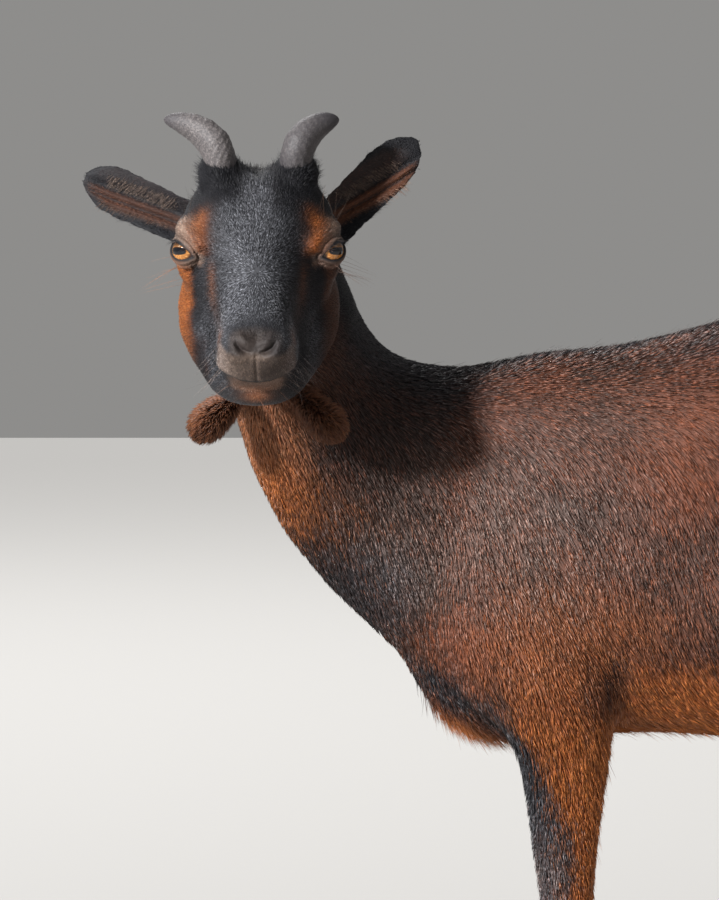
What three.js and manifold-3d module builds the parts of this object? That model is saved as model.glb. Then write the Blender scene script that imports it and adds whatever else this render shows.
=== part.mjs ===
// A dwarf goat, life size, standing square with its head turned to its left.
// Millimetres, +Z up. The goat faces -X and its left side is -Y; the floor is z = 0.
import * as THREE from 'three';
import { mergeVertices } from 'three/addons/utils/BufferGeometryUtils.js';
import Module from 'manifold-3d';

const wasm = await Module();
wasm.setup();

// Driving dimensions.
const joint = 0.35; // gap left between neighbouring pieces
const stance = { foreX: 0, hindX: 342, foreY: 60, hindY: 64, farForeLag: 10, farHindLag: -24 };
const headPose = { x: -210, y: -62, z: 567, turn: 90, nod: 31 }; // skull's back, degrees from the body's line
const eye = { ahead: 75, side: 45, up: 10, radius: 12.5 };
const claw = { length: 46, width: 17, toeHeight: 29, heelHeight: 17, cleft: 1.6 };

// Small maths.
const degrees = (d) => THREE.MathUtils.degToRad(d);
const signedPower = (v, p) => Math.sign(v) * Math.abs(v) ** p;

// Smooth values down a table: rows are [station, value, value, ...].
function along(rows) {
  const width = rows[0].length - 1;
  const curve = new THREE.CubicInterpolant(
    rows.map((r) => r[0]),
    rows.flatMap((r) => r.slice(1)),
    width,
  );
  const first = rows[0][0];
  const last = rows.at(-1)[0];
  return (station) => Array.from(curve.evaluate(THREE.MathUtils.clamp(station, first, last)));
}

// 1 in the middle of a body, falling to 0 at each end on a quarter circle.
function endRound(t, front, back) {
  const short = Math.min(front > 0 ? t / front : 1, back > 0 ? (1 - t) / back : 1, 1);
  return Math.sqrt(Math.max(0, 1 - (1 - short) ** 2));
}

// A point on an oval section: a is half the width, b and c the reach up and down.
function oval(angle, a, b, c, power = 2, taper = 0) {
  const across = signedPower(Math.cos(angle), 2 / power);
  const high = signedPower(Math.sin(angle), 2 / power);
  return [a * across * (1 + taper * high), (high > 0 ? b : c) * high];
}

// Solids.
function solidOf(geometry) {
  const bare = geometry.clone();
  bare.deleteAttribute('normal');
  bare.deleteAttribute('uv');
  const merged = mergeVertices(bare, 1e-3);
  return new wasm.Manifold(
    new wasm.Mesh({
      numProp: 3,
      vertProperties: merged.attributes.position.array,
      triVerts: new Uint32Array(merged.index.array),
    }),
  );
}

function inverted(geometry) {
  geometry.index.array.reverse();
  return geometry;
}

function geometryOf(solid) {
  const { vertProperties, triVerts, numProp } = solid.getMesh();
  const position = new Float32Array((vertProperties.length / numProp) * 3);
  for (let i = 0; i < position.length / 3; i += 1) {
    position.set(vertProperties.subarray(i * numProp, i * numProp + 3), i * 3);
  }
  const geometry = new THREE.BufferGeometry();
  geometry.setAttribute('position', new THREE.BufferAttribute(position, 3));
  geometry.setIndex(new THREE.BufferAttribute(triVerts, 1));
  return geometry;
}

const moved = (solid, matrix) => solid.transform(matrix.elements);
const united = (solids) => solids.reduce((whole, next) => whole.add(next));
const largest = (solid) => solid.decompose().sort((p, q) => q.volume() - p.volume())[0];

// The grid of a sphere, each point moved to place(t, angle); its poles are the body's two ends.
function roundBody(sides, rings, place) {
  const geometry = new THREE.SphereGeometry(1, sides, rings);
  const { position, uv } = geometry.attributes;
  for (let i = 0; i < position.count; i += 1) {
    const t = (1 - Math.cos(Math.PI * (1 - uv.getY(i)))) / 2;
    const angle = Math.round(uv.getX(i) * sides - (t < 1e-6 || t > 1 - 1e-6 ? 0.5 : 0)) / sides;
    const p = place(t, 2 * Math.PI * (angle % 1));
    position.setXYZ(i, p.x, p.y, p.z);
  }
  const solid = solidOf(geometry);
  return solid.volume() > 0 ? solid : solidOf(inverted(geometry));
}

// A body along a straight X line; size(x) gives [top, bottom, half width, power, taper].
function barrel({ from, to, sides, rings, front, back, size, grow = 0 }) {
  const length = Math.abs(to - from);
  return roundBody(sides, rings, (t, angle) => {
    const over = grow * Math.sign(to - from);
    const x = THREE.MathUtils.lerp(from - over, to + over, t);
    const [top, bottom, half, power, taper] = size(x);
    const middle = (top + bottom) / 2;
    const reach = (top - bottom) / 2;
    const k = endRound(t, front / length, back / length);
    const [y, z] = oval(angle, (half + grow) * k, (reach + grow) * k, (reach + grow) * k, power, taper);
    return new THREE.Vector3(x, y, middle + z);
  });
}

// The frame of a bent limb: rows are [x, y, z, half width, half depth, turn in degrees].
function limbFrame(rows) {
  const spine = new THREE.CatmullRomCurve3(rows.map((r) => new THREE.Vector3(r[0], r[1], r[2])));
  const size = along(rows.map((r, i) => [i / (rows.length - 1), r[3], r[4], r[5] ?? 0]));
  return (t) => {
    const [half, deep, turn] = size(t);
    const centre = spine.getPoint(t);
    const ahead = spine.getTangent(t);
    const side = new THREE.Vector3(0, -1, 0).applyAxisAngle(new THREE.Vector3(0, 0, 1), degrees(turn));
    side.addScaledVector(ahead, -side.dot(ahead)).normalize();
    return { centre, half, deep, side, up: ahead.clone().cross(side) };
  };
}

function limbPoint(frame, angle, shrink, grow, power) {
  const { centre, half, deep, side, up } = frame;
  const [a, b] = oval(angle, (half + grow) * shrink, (deep + grow) * shrink, (deep + grow) * shrink, power);
  return centre.clone().addScaledVector(side, a).addScaledVector(up, b);
}

function limb({ rows, sides, rings, front, back, grow = 0, power = 2 }) {
  const frame = limbFrame(rows);
  return roundBody(sides, rings, (t, angle) =>
    limbPoint(frame(t), angle, endRound(t, front, back), grow, power),
  );
}

function egg([x, y, z], [a, b, c], { sides, rings, grow = 0 }) {
  return roundBody(sides, rings, (t, angle) => {
    const round = 2 * Math.sqrt(Math.max(0, t * (1 - t)));
    return new THREE.Vector3(
      x + (a + grow) * (2 * t - 1),
      y + (b + grow) * round * Math.cos(angle),
      z + (c + grow) * round * Math.sin(angle),
    );
  });
}

// A block that starts on `point` and reaches away along `towards`.
function blockAlong(point, towards, [width, depth, height]) {
  const turn = new THREE.Quaternion().setFromUnitVectors(new THREE.Vector3(0, 0, 1), towards);
  const matrix = new THREE.Matrix4().compose(point, turn, new THREE.Vector3(1, 1, 1));
  const block = new THREE.BoxGeometry(width, depth, height).translate(0, 0, height / 2);
  return solidOf(block.applyMatrix4(matrix));
}

// Takes off what lies beyond a plane, within a block of that size, and leaves the joint's gap:
// returns [the piece, the rest].
function parted(solid, { point, normal, size }) {
  const towards = normal.clone().normalize();
  const back = point.clone().addScaledVector(towards, -joint);
  const piece = solid.intersect(blockAlong(point, towards, size));
  return [largest(piece), largest(solid.subtract(blockAlong(back, towards, size)))];
}

// Trunk, neck and tail.
const trunkSize = along([
  // x, back, belly, half width, squareness, taper
  [-114, 326, 188, 60, 2.0, 0.0],
  [-80, 418, 186, 70, 2.0, 0.0],
  [-40, 464, 184, 77, 2.1, -0.02],
  [0, 466, 187, 82, 2.2, -0.05],
  [50, 471, 193, 92, 2.2, -0.08],
  [110, 488, 190, 107, 2.2, -0.1],
  [170, 499, 184, 117, 2.2, -0.1],
  [230, 502, 186, 116, 2.2, -0.08],
  [285, 498, 202, 104, 2.2, -0.02],
  [330, 484, 232, 90, 2.1, 0.05],
  [365, 467, 262, 84, 2.1, 0.05],
  [392, 448, 288, 76, 2.0, 0.0],
]);

const trunk = (grow) =>
  barrel({ from: -114, to: 392, sides: 22, rings: 17, front: 58, back: 60, size: trunkSize, grow });

const neckRows = [
  // x, y, z, half width, half depth, turn
  [-10, 0, 339, 64, 108, 0],
  [-60, -1, 349, 66, 118, 2],
  [-115, -4, 373, 61, 95, 10],
  [-152, -10, 402, 56, 79, 26],
  [-174, -19, 434, 53, 68, 46],
  [-188, -30, 470, 52, 60, 64],
  [-199, -43, 508, 48, 52, 78],
  [-207, -60, 544, 43, 40, 86],
  [-210, -77, 571, 36, 28, 90],
];
const neck = (grow) => limb({ rows: neckRows, sides: 20, rings: 15, front: 0.06, back: 0.12, grow });

const tailRows = [
  [352, 0, 452, 20, 18],
  [384, 0, 470, 18, 14],
  [404, 0, 496, 19, 12],
  [411, 0, 528, 15, 10],
  [407, 0, 556, 8, 6],
];
const tail = (grow) => limb({ rows: tailRows, sides: 10, rings: 9, front: 0.12, back: 0.3, grow });

// Legs, modelled over a foot at the origin.
const foreRows = [
  // x, y (towards the body is +), z, half width, half depth
  [8, 16, 404, 18, 34],
  [-8, 12, 360, 26, 54],
  [-24, 7, 312, 31, 70],
  [-27, 3, 266, 33, 68],
  [-6, 0, 226, 31, 50],
  [0, 0, 194, 26, 37],
  [1, 0, 166, 21.5, 31.5],
  [0, 0, 136, 20.5, 27],
  [1, 0, 112, 17, 23.5],
  [1, 0, 88, 14, 20],
  [1, 0, 66, 14, 18],
  [1, 0, 50, 16.5, 18.5],
  [-6, 0, 36, 16.5, 16],
  [-14, 0, 18, 17.5, 18],
];
const hindRows = [
  [12, 22, 430, 34, 44],
  [-2, 12, 385, 46, 74],
  [-18, 6, 335, 52, 90],
  [-31, 4, 285, 49, 83],
  [-19, 4, 246, 39, 61],
  [0, 2, 212, 28, 41],
  [15, 0, 178, 19, 27],
  [19, 0, 152, 14.5, 19],
  [15, 0, 120, 13, 14.5],
  [10, 0, 86, 13, 14],
  [6, 0, 56, 16.5, 17.5],
  [-4, 0, 38, 16.5, 15.5],
  [-13, 0, 19, 17.5, 18],
];
const fore = { rows: foreRows, home: stance.foreX, spread: stance.foreY };
const hind = { rows: hindRows, home: stance.hindX, spread: stance.hindY };
const feet = [
  { name: 'foreleg_left', ...fore, x: fore.home, side: -1 },
  { name: 'foreleg_right', ...fore, x: fore.home + stance.farForeLag, side: 1 },
  { name: 'hindleg_left', ...hind, x: hind.home, side: -1 },
  { name: 'hindleg_right', ...hind, x: hind.home + stance.farHindLag, side: 1 },
];

// The foot stands at its own place, but the top of the leg stays with the body, so a stepping leg slants
// between these two heights.
const slant = { from: 40, below: 80 };
function legRows({ rows, home, x, side, spread }) {
  const rise = rows[0][2] - slant.below - slant.from;
  return rows.map(([px, py, pz, half, deep]) => {
    const share = THREE.MathUtils.clamp(1 - (pz - slant.from) / rise, 0, 1);
    return [home + (x - home) * share + px, side * (spread - py), pz, half, deep];
  });
}
const leg = (foot, grow) =>
  limb({ rows: legRows(foot), sides: 12, rings: 20, front: 0.08, back: 0.03, grow, power: 2.1 });

// The head, modelled in its own frame: the skull's back is the origin and the face points to -X.
const headMatrix = new THREE.Matrix4()
  .makeTranslation(headPose.x, headPose.y, headPose.z)
  .multiply(new THREE.Matrix4().makeRotationZ(degrees(headPose.turn)))
  .multiply(new THREE.Matrix4().makeRotationY(degrees(-headPose.nod)));

const skullSize = along([
  // ahead, top, bottom, half width, squareness, taper
  [-6, 34, -30, 34, 2.0, 0.0],
  [20, 47, -44, 48, 2.1, 0.0],
  [45, 50, -50, 54, 2.6, 0.0],
  [70, 45, -52, 52, 2.7, 0.0],
  [92, 34, -50, 41, 2.4, -0.12],
  [114, 25, -46, 32, 2.3, -0.2],
  [138, 15, -50, 28.5, 2.3, -0.12],
  [158, 10, -47, 29, 2.4, -0.05],
  [172, 6, -41, 26, 2.4, 0.0],
  [181, 0, -31, 21, 2.3, 0.0],
]);
const jawSize = along([
  [6, 0, -46, 40, 2.2, 0.0],
  [34, -6, -66, 52, 2.3, 0.0],
  [62, -10, -74, 57, 2.4, 0.0],
  [88, -16, -75, 55, 2.4, 0.0],
  [112, -22, -72, 47, 2.4, 0.0],
  [136, -27, -70, 37, 2.3, 0.0],
  [164, -34, -66, 27, 2.2, 0.0],
]);
const flip = (size) => (x) => size(-x);
const skull = (grow) =>
  barrel({ from: 6, to: -181, sides: 20, rings: 15, front: 30, back: 22, size: flip(skullSize), grow });
const jaw = (grow) =>
  barrel({ from: -6, to: -164, sides: 16, rings: 10, front: 30, back: 18, size: flip(jawSize), grow });

const pair = (make) => [-1, 1].map(make);
const bumps = [
  // x, out to the side, up, then the three half sizes
  { name: 'brow', at: [-eye.ahead + 6, eye.side - 5, eye.up + 12], half: [25, 19, 10] },
  { name: 'cheekbone', at: [-eye.ahead + 16, eye.side - 5, eye.up - 18], half: [35, 18, 11] },
  { name: 'horn base', at: [-30, 26, 44], half: [20, 16.5, 15] },
  { name: 'nostril', at: [-166, 12, -8], half: [15, 12, 12] },
];
const bump = ({ at: [x, out, up], half }, grow) =>
  pair((side) => egg([x, side * out, up], half, { sides: 10, rings: 7, grow }));
const head = (grow) => united([skull(grow), jaw(grow), ...bumps.flatMap((b) => bump(b, grow))]);

// A horn rises from the brow, leans back and curls outwards; `spread` scales the curl.
const hornShape = { rootOut: 24, flat: 1.1, spread: { left: 0.82, right: 1.08 } };
const hornRows = [
  // x, out, up, radius
  [-32, 24, 38, 11.8],
  [-30, 24.5, 52, 11.4],
  [-25, 28, 63, 11],
  [-17, 37, 69, 9.7],
  [-11, 49, 71.5, 7.6],
  [-7, 62, 72, 5.3],
];
function horn(side, spread) {
  const { rootOut, flat } = hornShape;
  const rows = hornRows.map(([x, out, z, radius]) => {
    const y = side * (rootOut + (out - rootOut) * spread);
    return [x, y, z, radius, radius * flat];
  });
  return limb({ rows, sides: 12, rings: 11, front: 0.06, back: 0.22 });
}

// An ear is a cupped leaf: it points along `reach` from its root, its hollow turned towards `facing`.
const earShape = {
  root: [-18, 51, -3.5],
  sunk: 14, // how far the root starts inside the head
  thickness: 2.2,
  thinner: 0.7, // share of the root's extra thickness lost by the tip
  leaf: along([
    // share of the length, half width, depth of the cup
    [0, 18, 15],
    [0.2, 17, 14],
    [0.45, 18.3, 10],
    [0.7, 18.8, 6],
    [0.88, 15.5, 3],
    [1, 9, 1],
  ]),
};
const earPose = {
  left: { reach: [38, -52, 36.4], facing: [-0.8, -0.1, 0.55], length: 99 },
  right: { reach: [26, 64, 17.2], facing: [-0.8, 0.1, 0.45], length: 95 },
};
function ear(side, { reach, facing, length }) {
  const { root, sunk, thickness, thinner, leaf } = earShape;
  const tip = new THREE.Vector3(...reach).normalize();
  const hollow = new THREE.Vector3(...facing);
  hollow.addScaledVector(tip, -hollow.dot(tip)).normalize();
  const start = new THREE.Vector3(root[0], side * root[1], root[2]).addScaledVector(tip, -sunk);
  const place = new THREE.Matrix4().makeBasis(hollow, tip, hollow.clone().cross(tip)).setPosition(start);
  return roundBody(14, 10, (t, angle) => {
    const [half, cup] = leaf(t);
    const round = endRound(t, 0.05, 0.2);
    const across = Math.cos(angle);
    const wall = thickness * Math.sin(angle) * (1.5 - t * thinner);
    const deep = (cup * (across * across - 0.5) + wall) * round;
    return new THREE.Vector3(deep, length * t, half * across * round).applyMatrix4(place);
  });
}

// Feet.
// One claw of the cloven hoof, a little column that leans forward, its toe pointed and its inner side flat.
const clawShape = {
  middle: -15, // of the sole, from the leg's line
  shorter: 4, // how much the top is drawn in at each end
  lean: [8, 13], // how far the top moves back, and how much further it does so at the heel
  pointed: 0.4,
  flat: 0.8, // share of the half width on the inner side
  waist: 0.1,
  spare: 10, // height cut away again by the coronet's plane
};
function clawSolid(side) {
  const geometry = new THREE.CylinderGeometry(1, 1, 1, 12, 1);
  const { position } = geometry.attributes;
  const half = claw.width / 2;
  const { middle, shorter, lean, pointed, flat, waist, spare } = clawShape;
  for (let i = 0; i < position.count; i += 1) {
    const up = position.getY(i) + 0.5;
    const ahead = position.getX(i);
    const out = position.getZ(i);
    const narrow = out > 0 ? 1 - pointed * Math.max(0, ahead) ** 2 : flat;
    const reach = claw.length / 2 - shorter * up;
    position.setXYZ(
      i,
      middle - ahead * reach + up * (lean[0] + lean[1] * ahead),
      side * (half * flat + claw.cleft / 2 + out * half * narrow * (1 - waist * up)),
      up * (claw.toeHeight + spare),
    );
  }
  const solid = solidOf(geometry);
  return solid.volume() > 0 ? solid : solidOf(inverted(geometry));
}
const dewclaw = (side) => egg([17, side * 9, 41], [8, 5.5, 8], { sides: 7, rings: 5 });
const coronet = {
  point: new THREE.Vector3(clawShape.middle, 0, (claw.toeHeight + claw.heelHeight) / 2),
  normal: new THREE.Vector3(claw.toeHeight - claw.heelHeight, 0, claw.length - 8).normalize(),
};

// A column round one leg; its top slopes, higher on the outside of the body.
const underFloor = -20;
function legColumn(foot, { front, back, inner, outer, low, high }, grow) {
  const column = new THREE.BoxGeometry(1, 1, 1);
  const { position } = column.attributes;
  for (let i = 0; i < position.count; i += 1) {
    const outside = position.getY(i) * foot.side > 0;
    const top = outside ? high : low;
    position.setXYZ(
      i,
      foot.home + (position.getX(i) > 0 ? back + grow : front - grow),
      foot.side * (outside ? outer + grow : inner - grow),
      position.getZ(i) > 0 ? top + 1.6 * grow : underFloor,
    );
  }
  return solidOf(column);
}

// The whole body, then its parts.
function flesh(grow) {
  return united([
    trunk(grow),
    neck(grow),
    tail(grow),
    moved(head(grow), headMatrix),
    ...feet.map((foot) => leg(foot, grow)),
  ]);
}
const whole = flesh(0);
const skin = flesh(joint); // the same body, thicker by one gap: what sits on the body is cut to it

const finish = {
  coat: { color: 0x3a2118, roughness: 0.75, metalness: 0 },
  darkCoat: { color: 0x17161a, roughness: 0.7, metalness: 0 },
  horn: { color: 0x4a4748, roughness: 0.65, metalness: 0 },
  hoof: { color: 0x2a2523, roughness: 0.5, metalness: 0 },
  eye: { color: 0xb56a1e, roughness: 0.1, metalness: 0 },
};
const materials = Object.fromEntries(
  Object.entries(finish).map(([name, values]) => [name, new THREE.MeshStandardMaterial(values)]),
);
function meshOf(name, solid, material) {
  const mesh = new THREE.Mesh(geometryOf(solid), materials[material]);
  mesh.name = name;
  return mesh;
}

const goat = new THREE.Group();
const headGroup = new THREE.Group();
headGroup.applyMatrix4(headMatrix);
goat.add(headGroup);

// Legs: each comes off on a slanting plane, then parts again at the knee or hock.
let rest = whole;
const kneeHeight = { foreleg: 138, hindleg: 168 };
const hip = {
  foreleg: { front: -88, back: 47, inner: 24, outer: 160, low: 196, high: 330 },
  hindleg: { front: -112, back: 120, inner: 6, outer: 160, low: 240, high: 332 },
};
const hoofBlock = [160, 80, 260]; // takes in one whole foot
for (const foot of feet) {
  const kind = foot.name.split('_')[0];
  const off = largest(rest.intersect(legColumn(foot, hip[kind], 0)));
  rest = largest(rest.subtract(legColumn(foot, hip[kind], joint)));
  const footing = new THREE.Vector3(foot.x, foot.side * foot.spread, 0);
  const knee = footing.clone().setZ(kneeHeight[kind]);
  const [lower, upper] = parted(off, {
    point: knee,
    normal: new THREE.Vector3(0, 0, -1),
    size: [200, 120, 200],
  });
  const sole = coronet.point.clone().add(footing);
  const shank = largest(lower.intersect(blockAlong(sole, coronet.normal, hoofBlock)));
  goat.add(meshOf(`${foot.name}_upper`, upper, 'coat'));
  goat.add(meshOf(`${foot.name}_lower`, shank, 'darkCoat'));

  const stand = new THREE.Matrix4().setPosition(footing);
  sole.addScaledVector(coronet.normal, -joint);
  const overHoof = blockAlong(sole, coronet.normal, hoofBlock);
  pair((side) => {
    const where = side * foot.side > 0 ? 'outer' : 'inner';
    const spur = largest(moved(dewclaw(side), stand).subtract(skin));
    const horny = largest(moved(clawSolid(side), stand).subtract(overHoof));
    goat.add(meshOf(`hoof_${foot.name}_${where}`, horny, 'hoof'));
    goat.add(meshOf(`dewclaw_${foot.name}_${where}`, spur, 'hoof'));
  });
}

// Head, neck and tail come off the trunk on planes.
const backToHead = headMatrix.clone().invert();
const underJaw = {
  point: new THREE.Vector3(0, 0, -77).applyMatrix4(headMatrix),
  normal: new THREE.Vector3(0, 0, 1).transformDirection(headMatrix),
  size: [500, 460, 200],
};
const shoulderLine = {
  point: new THREE.Vector3(-92, 0, 356),
  normal: new THREE.Vector3(-0.98, 0, 0.2),
  size: [600, 400, 300],
};
const tailHead = {
  point: new THREE.Vector3(374, 0, 464),
  normal: new THREE.Vector3(0.82, 0, 0.57),
  size: [90, 120, 160],
};
const [headWhole, headless] = parted(rest, underJaw);
const [neckPart, trunkAndTail] = parted(headless, shoulderLine);
const [tailPart, trunkPart] = parted(trunkAndTail, tailHead);
goat.add(meshOf('trunk', trunkPart, 'coat'));
goat.add(meshOf('neck', neckPart, 'coat'));
goat.add(meshOf('tail', tailPart, 'coat'));

// What sits on the head is made in the head's frame, cut to the body and joined to the head's group.
const skinOnHead = moved(skin, backToHead);
function eyeball(side, grow) {
  const centre = [-eye.ahead, side * eye.side, eye.up];
  return egg(centre, Array(3).fill(eye.radius), { sides: 14, rings: 8, grow });
}
let headPart = moved(headWhole, backToHead);
pair((side) => {
  const hand = side < 0 ? 'left' : 'right';
  const hornPart = horn(side, hornShape.spread[hand]).subtract(skinOnHead);
  const earPart = ear(side, earPose[hand]).subtract(skinOnHead);
  headGroup.add(meshOf(`horn_${hand}`, largest(hornPart), 'horn'));
  headGroup.add(meshOf(`ear_${hand}`, largest(earPart), 'darkCoat'));
  headGroup.add(meshOf(`eye_${hand}`, eyeball(side, 0), 'eye'));
  headPart = headPart.subtract(eyeball(side, joint));
});
headGroup.add(meshOf('head', largest(headPart), 'darkCoat'));

// Wattles hang from the throat on both sides of this line.
const throatX = -204;
const wattleRows = [
  // out from the throat's middle, y, z, radius
  [21, -76, 435, 8],
  [31, -88, 427, 11],
  [41, -97, 418, 13.5],
  [50, -101, 407, 12],
];
pair((side) => {
  const rows = wattleRows.map(([out, y, z, radius]) => [throatX - side * out, y, z, radius, radius]);
  const hanging = limb({ rows, sides: 9, rings: 7, front: 0.1, back: 0.3 }).subtract(skin);
  const hand = side < 0 ? 'left' : 'right';
  goat.add(meshOf(`wattle_${hand}`, largest(hanging), 'darkCoat'));
});

// The finished goat stands with the middle of its box's underside at the origin.
const box = new THREE.Box3().setFromObject(goat, true);
const middle = box.getCenter(new THREE.Vector3());
goat.position.set(-middle.x, -middle.y, -box.min.z);

export default goat;
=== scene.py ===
# A dwarf goat in its coat: one skin over the flesh nodes, hair as small solid locks, and the studio round it.
import math

import bmesh
import bpy
import numpy as np
from mathutils import Matrix, Vector, noise
from mathutils.bvhtree import BVHTree


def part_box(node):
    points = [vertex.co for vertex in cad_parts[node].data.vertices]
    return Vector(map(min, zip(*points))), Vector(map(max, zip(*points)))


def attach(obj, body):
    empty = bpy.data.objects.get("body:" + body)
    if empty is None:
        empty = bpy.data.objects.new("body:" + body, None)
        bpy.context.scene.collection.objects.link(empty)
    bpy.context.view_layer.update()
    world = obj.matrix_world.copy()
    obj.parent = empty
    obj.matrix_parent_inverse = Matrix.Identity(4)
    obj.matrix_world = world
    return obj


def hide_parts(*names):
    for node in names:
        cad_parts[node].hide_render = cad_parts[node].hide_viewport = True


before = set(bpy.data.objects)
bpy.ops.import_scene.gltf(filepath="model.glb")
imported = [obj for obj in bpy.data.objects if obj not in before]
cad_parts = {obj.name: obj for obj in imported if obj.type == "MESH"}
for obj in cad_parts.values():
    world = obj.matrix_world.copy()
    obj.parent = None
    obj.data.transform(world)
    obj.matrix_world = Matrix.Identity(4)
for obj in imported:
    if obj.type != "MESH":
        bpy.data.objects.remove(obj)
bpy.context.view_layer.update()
print("frame loaded")

mm = 0.001
cm = 0.01
rng = np.random.default_rng(8)
noise.seed_set(8)   # noise vectors hang on the clock without it


def middleOf(name):
    low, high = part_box(name)
    return (Vector(low) + Vector(high)) / 2


def unit(vectors):
    return vectors / np.maximum(np.linalg.norm(vectors, axis=-1, keepdims=True), 1e-9)


def ramp(value, low, high):
    t = np.clip((value - low) / (high - low), 0, 1)
    return t * t * (3 - 2 * t)


def fall(value, low, high):
    return 1 - ramp(value, low, high)


def span(value, start, full, last, end):
    return ramp(value, start, full) * fall(value, last, end)


def band(value, low, high, soft):
    return span(value, low - soft, low + soft, high - soft, high + soft)


def hump(value, centre, width):
    return np.exp(-(((value - centre) / width) ** 2))


def patch(at, plan):
    # a product of soft shapes, each over one coordinate of a place
    return math.prod(shape(at[key], *numbers) for key, (shape, *numbers) in plan.items())


def most(*values):
    return np.maximum.reduce(np.broadcast_arrays(*values))


def blend(first, second, share):
    # the first where the share is 0, the second where it is 1; the values are numbers or vectors
    share = share[:, None] if np.ndim(first) == 2 else share
    return first * (1 - share) + second * share


def alongSkin(ways, normals):
    return ways - normals * np.sum(ways * normals, axis=1, keepdims=True)


def tableOf(rows):
    # a smooth reading of a short table: rows are (station, value)
    stations, values = zip(*rows)
    return lambda x: np.interp(x, stations, values)


# the head's pose, given, and places on the body worked out from the frame's boxes
pose = {
    "nod": math.radians(31),       # how far the face points down
    "gazeOut": math.radians(46),   # how far an eye looks to its own side
    "lidTilt": math.radians(22),   # the eye's inner corner lies lower
    "betweenLegs": 170,            # mm behind the forelegs, where the hind quarters begin
}
eyeCentre = {1: np.array(middleOf("eye_left")), -1: np.array(middleOf("eye_right"))}
eyeRadius = (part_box("eye_left")[1][0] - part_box("eye_left")[0][0]) / 2
betweenEyes = (eyeCentre[1] + eyeCentre[-1]) / 2
skyward = np.array([0.0, 0.0, 1.0])
headLeft = unit(eyeCentre[1] - eyeCentre[-1])
levelAhead = np.cross(skyward, headLeft)
if levelAhead[1] > 0:
    levelAhead = -levelAhead
headAhead = levelAhead * math.cos(pose["nod"]) - skyward * math.sin(pose["nod"])
headUp = levelAhead * math.sin(pose["nod"]) + skyward * math.cos(pose["nod"])
midY = (middleOf("hoof_foreleg_left_outer").y + middleOf("hoof_foreleg_right_outer").y) / 2
foreX = middleOf("foreleg_left_lower").x


def faceCoords(points):
    # millimetres from between the eyes: ahead to the nose, to the goat's left, up the forehead
    offset = (points - betweenEyes) / mm
    return offset @ headAhead, offset @ headLeft, offset @ headUp


def bodyCoords(points):
    # millimetres: back from the forelegs, to the right of the middle plane, up from the floor
    return (points[:, 0] - foreX) / mm, (points[:, 1] - midY) / mm, points[:, 2] / mm


def placesOf(points):
    # all of these by name; wide and aside count the same to both sides
    ahead, left, up = faceCoords(points)
    back, right, high = bodyCoords(points)
    wide, aside = np.abs(left), np.abs(right)
    return {"ahead": ahead, "left": left, "up": up, "wide": wide, "back": back, "aside": aside, "high": high}


# meshes as arrays
def readBack(items, key, width, kind=float):
    flat = np.empty(len(items) * width, dtype=kind)
    items.foreach_get(key, flat)
    return flat.reshape(-1, width)


def coordsOf(mesh):
    return readBack(mesh.vertices, "co", 3)


def normalsOf(mesh):
    return readBack(mesh.vertices, "normal", 3)


def edgesOf(mesh):
    return readBack(mesh.edges, "vertices", 2, np.int64)


def trianglesOf(mesh):
    mesh.calc_loop_triangles()
    return readBack(mesh.loop_triangles, "vertices", 3, np.int64)


def placeVertices(mesh, points):
    mesh.vertices.foreach_set("co", points.astype(np.float32).ravel())
    mesh.update()


def smoothed(mesh):
    mesh.polygons.foreach_set("use_smooth", [True] * len(mesh.polygons))
    mesh.update()


def keepColours(mesh, name, values):
    # four numbers a vertex, kept for the material to read
    layer = mesh.attributes.new(name, "FLOAT_COLOR", "POINT")
    layer.data.foreach_set("color", values.astype(np.float32).ravel())


def neighbourMean(values, edges):
    count = len(values)
    degree = np.bincount(edges.ravel(), minlength=count)
    columns = values.reshape(count, -1)
    total = [
        np.bincount(edges[:, 0], columns[edges[:, 1], k], count)
        + np.bincount(edges[:, 1], columns[edges[:, 0], k], count)
        for k in range(columns.shape[1])
    ]
    return (np.stack(total, axis=1) / np.maximum(degree, 1)[:, None]).reshape(values.shape)


def diffused(values, edges, rounds, strength=0.5):
    weight = strength if np.isscalar(strength) else strength.reshape((-1,) + (1,) * (values.ndim - 1))
    for _ in range(rounds):
        values = values + weight * (neighbourMean(values, edges) - values)
    return values


def ripple(points, scale, seed):
    # gentle noise from about -1 to 1, one value a point
    shift = Vector((seed * 7.3, seed * 3.1, seed * 5.7))
    return np.array([noise.noise(Vector(p) * scale + shift) for p in points.tolist()]) * 1.6


def meshOf(bm, name):
    mesh = bpy.data.meshes.new(name)
    bm.to_mesh(mesh)
    bm.free()
    return mesh


def linked(mesh, name):
    piece = bpy.data.objects.new(name, mesh)
    bpy.context.scene.collection.objects.link(piece)
    return piece


def applied(piece):
    # the modifiers' result becomes the piece's own mesh
    mesh = bpy.data.meshes.new_from_object(piece.evaluated_get(bpy.context.evaluated_depsgraph_get()))
    old = piece.data
    piece.modifiers.clear()
    piece.data = mesh
    bpy.data.meshes.remove(old)
    return piece


def remeshed(piece, voxel):
    modifier = piece.modifiers.new("whole", "REMESH")
    modifier.mode = "VOXEL"
    modifier.voxel_size = voxel
    return applied(piece)


def mergedCopy(node, swell=0.0):
    # a node's solid with its corners joined, pushed out by the swell
    part = bmesh.new()
    part.from_mesh(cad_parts[node].data)
    bmesh.ops.remove_doubles(part, verts=part.verts, dist=0.02 * mm)
    part.normal_update()
    for v in part.verts:
        v.co += v.normal * swell
    return part


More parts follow.
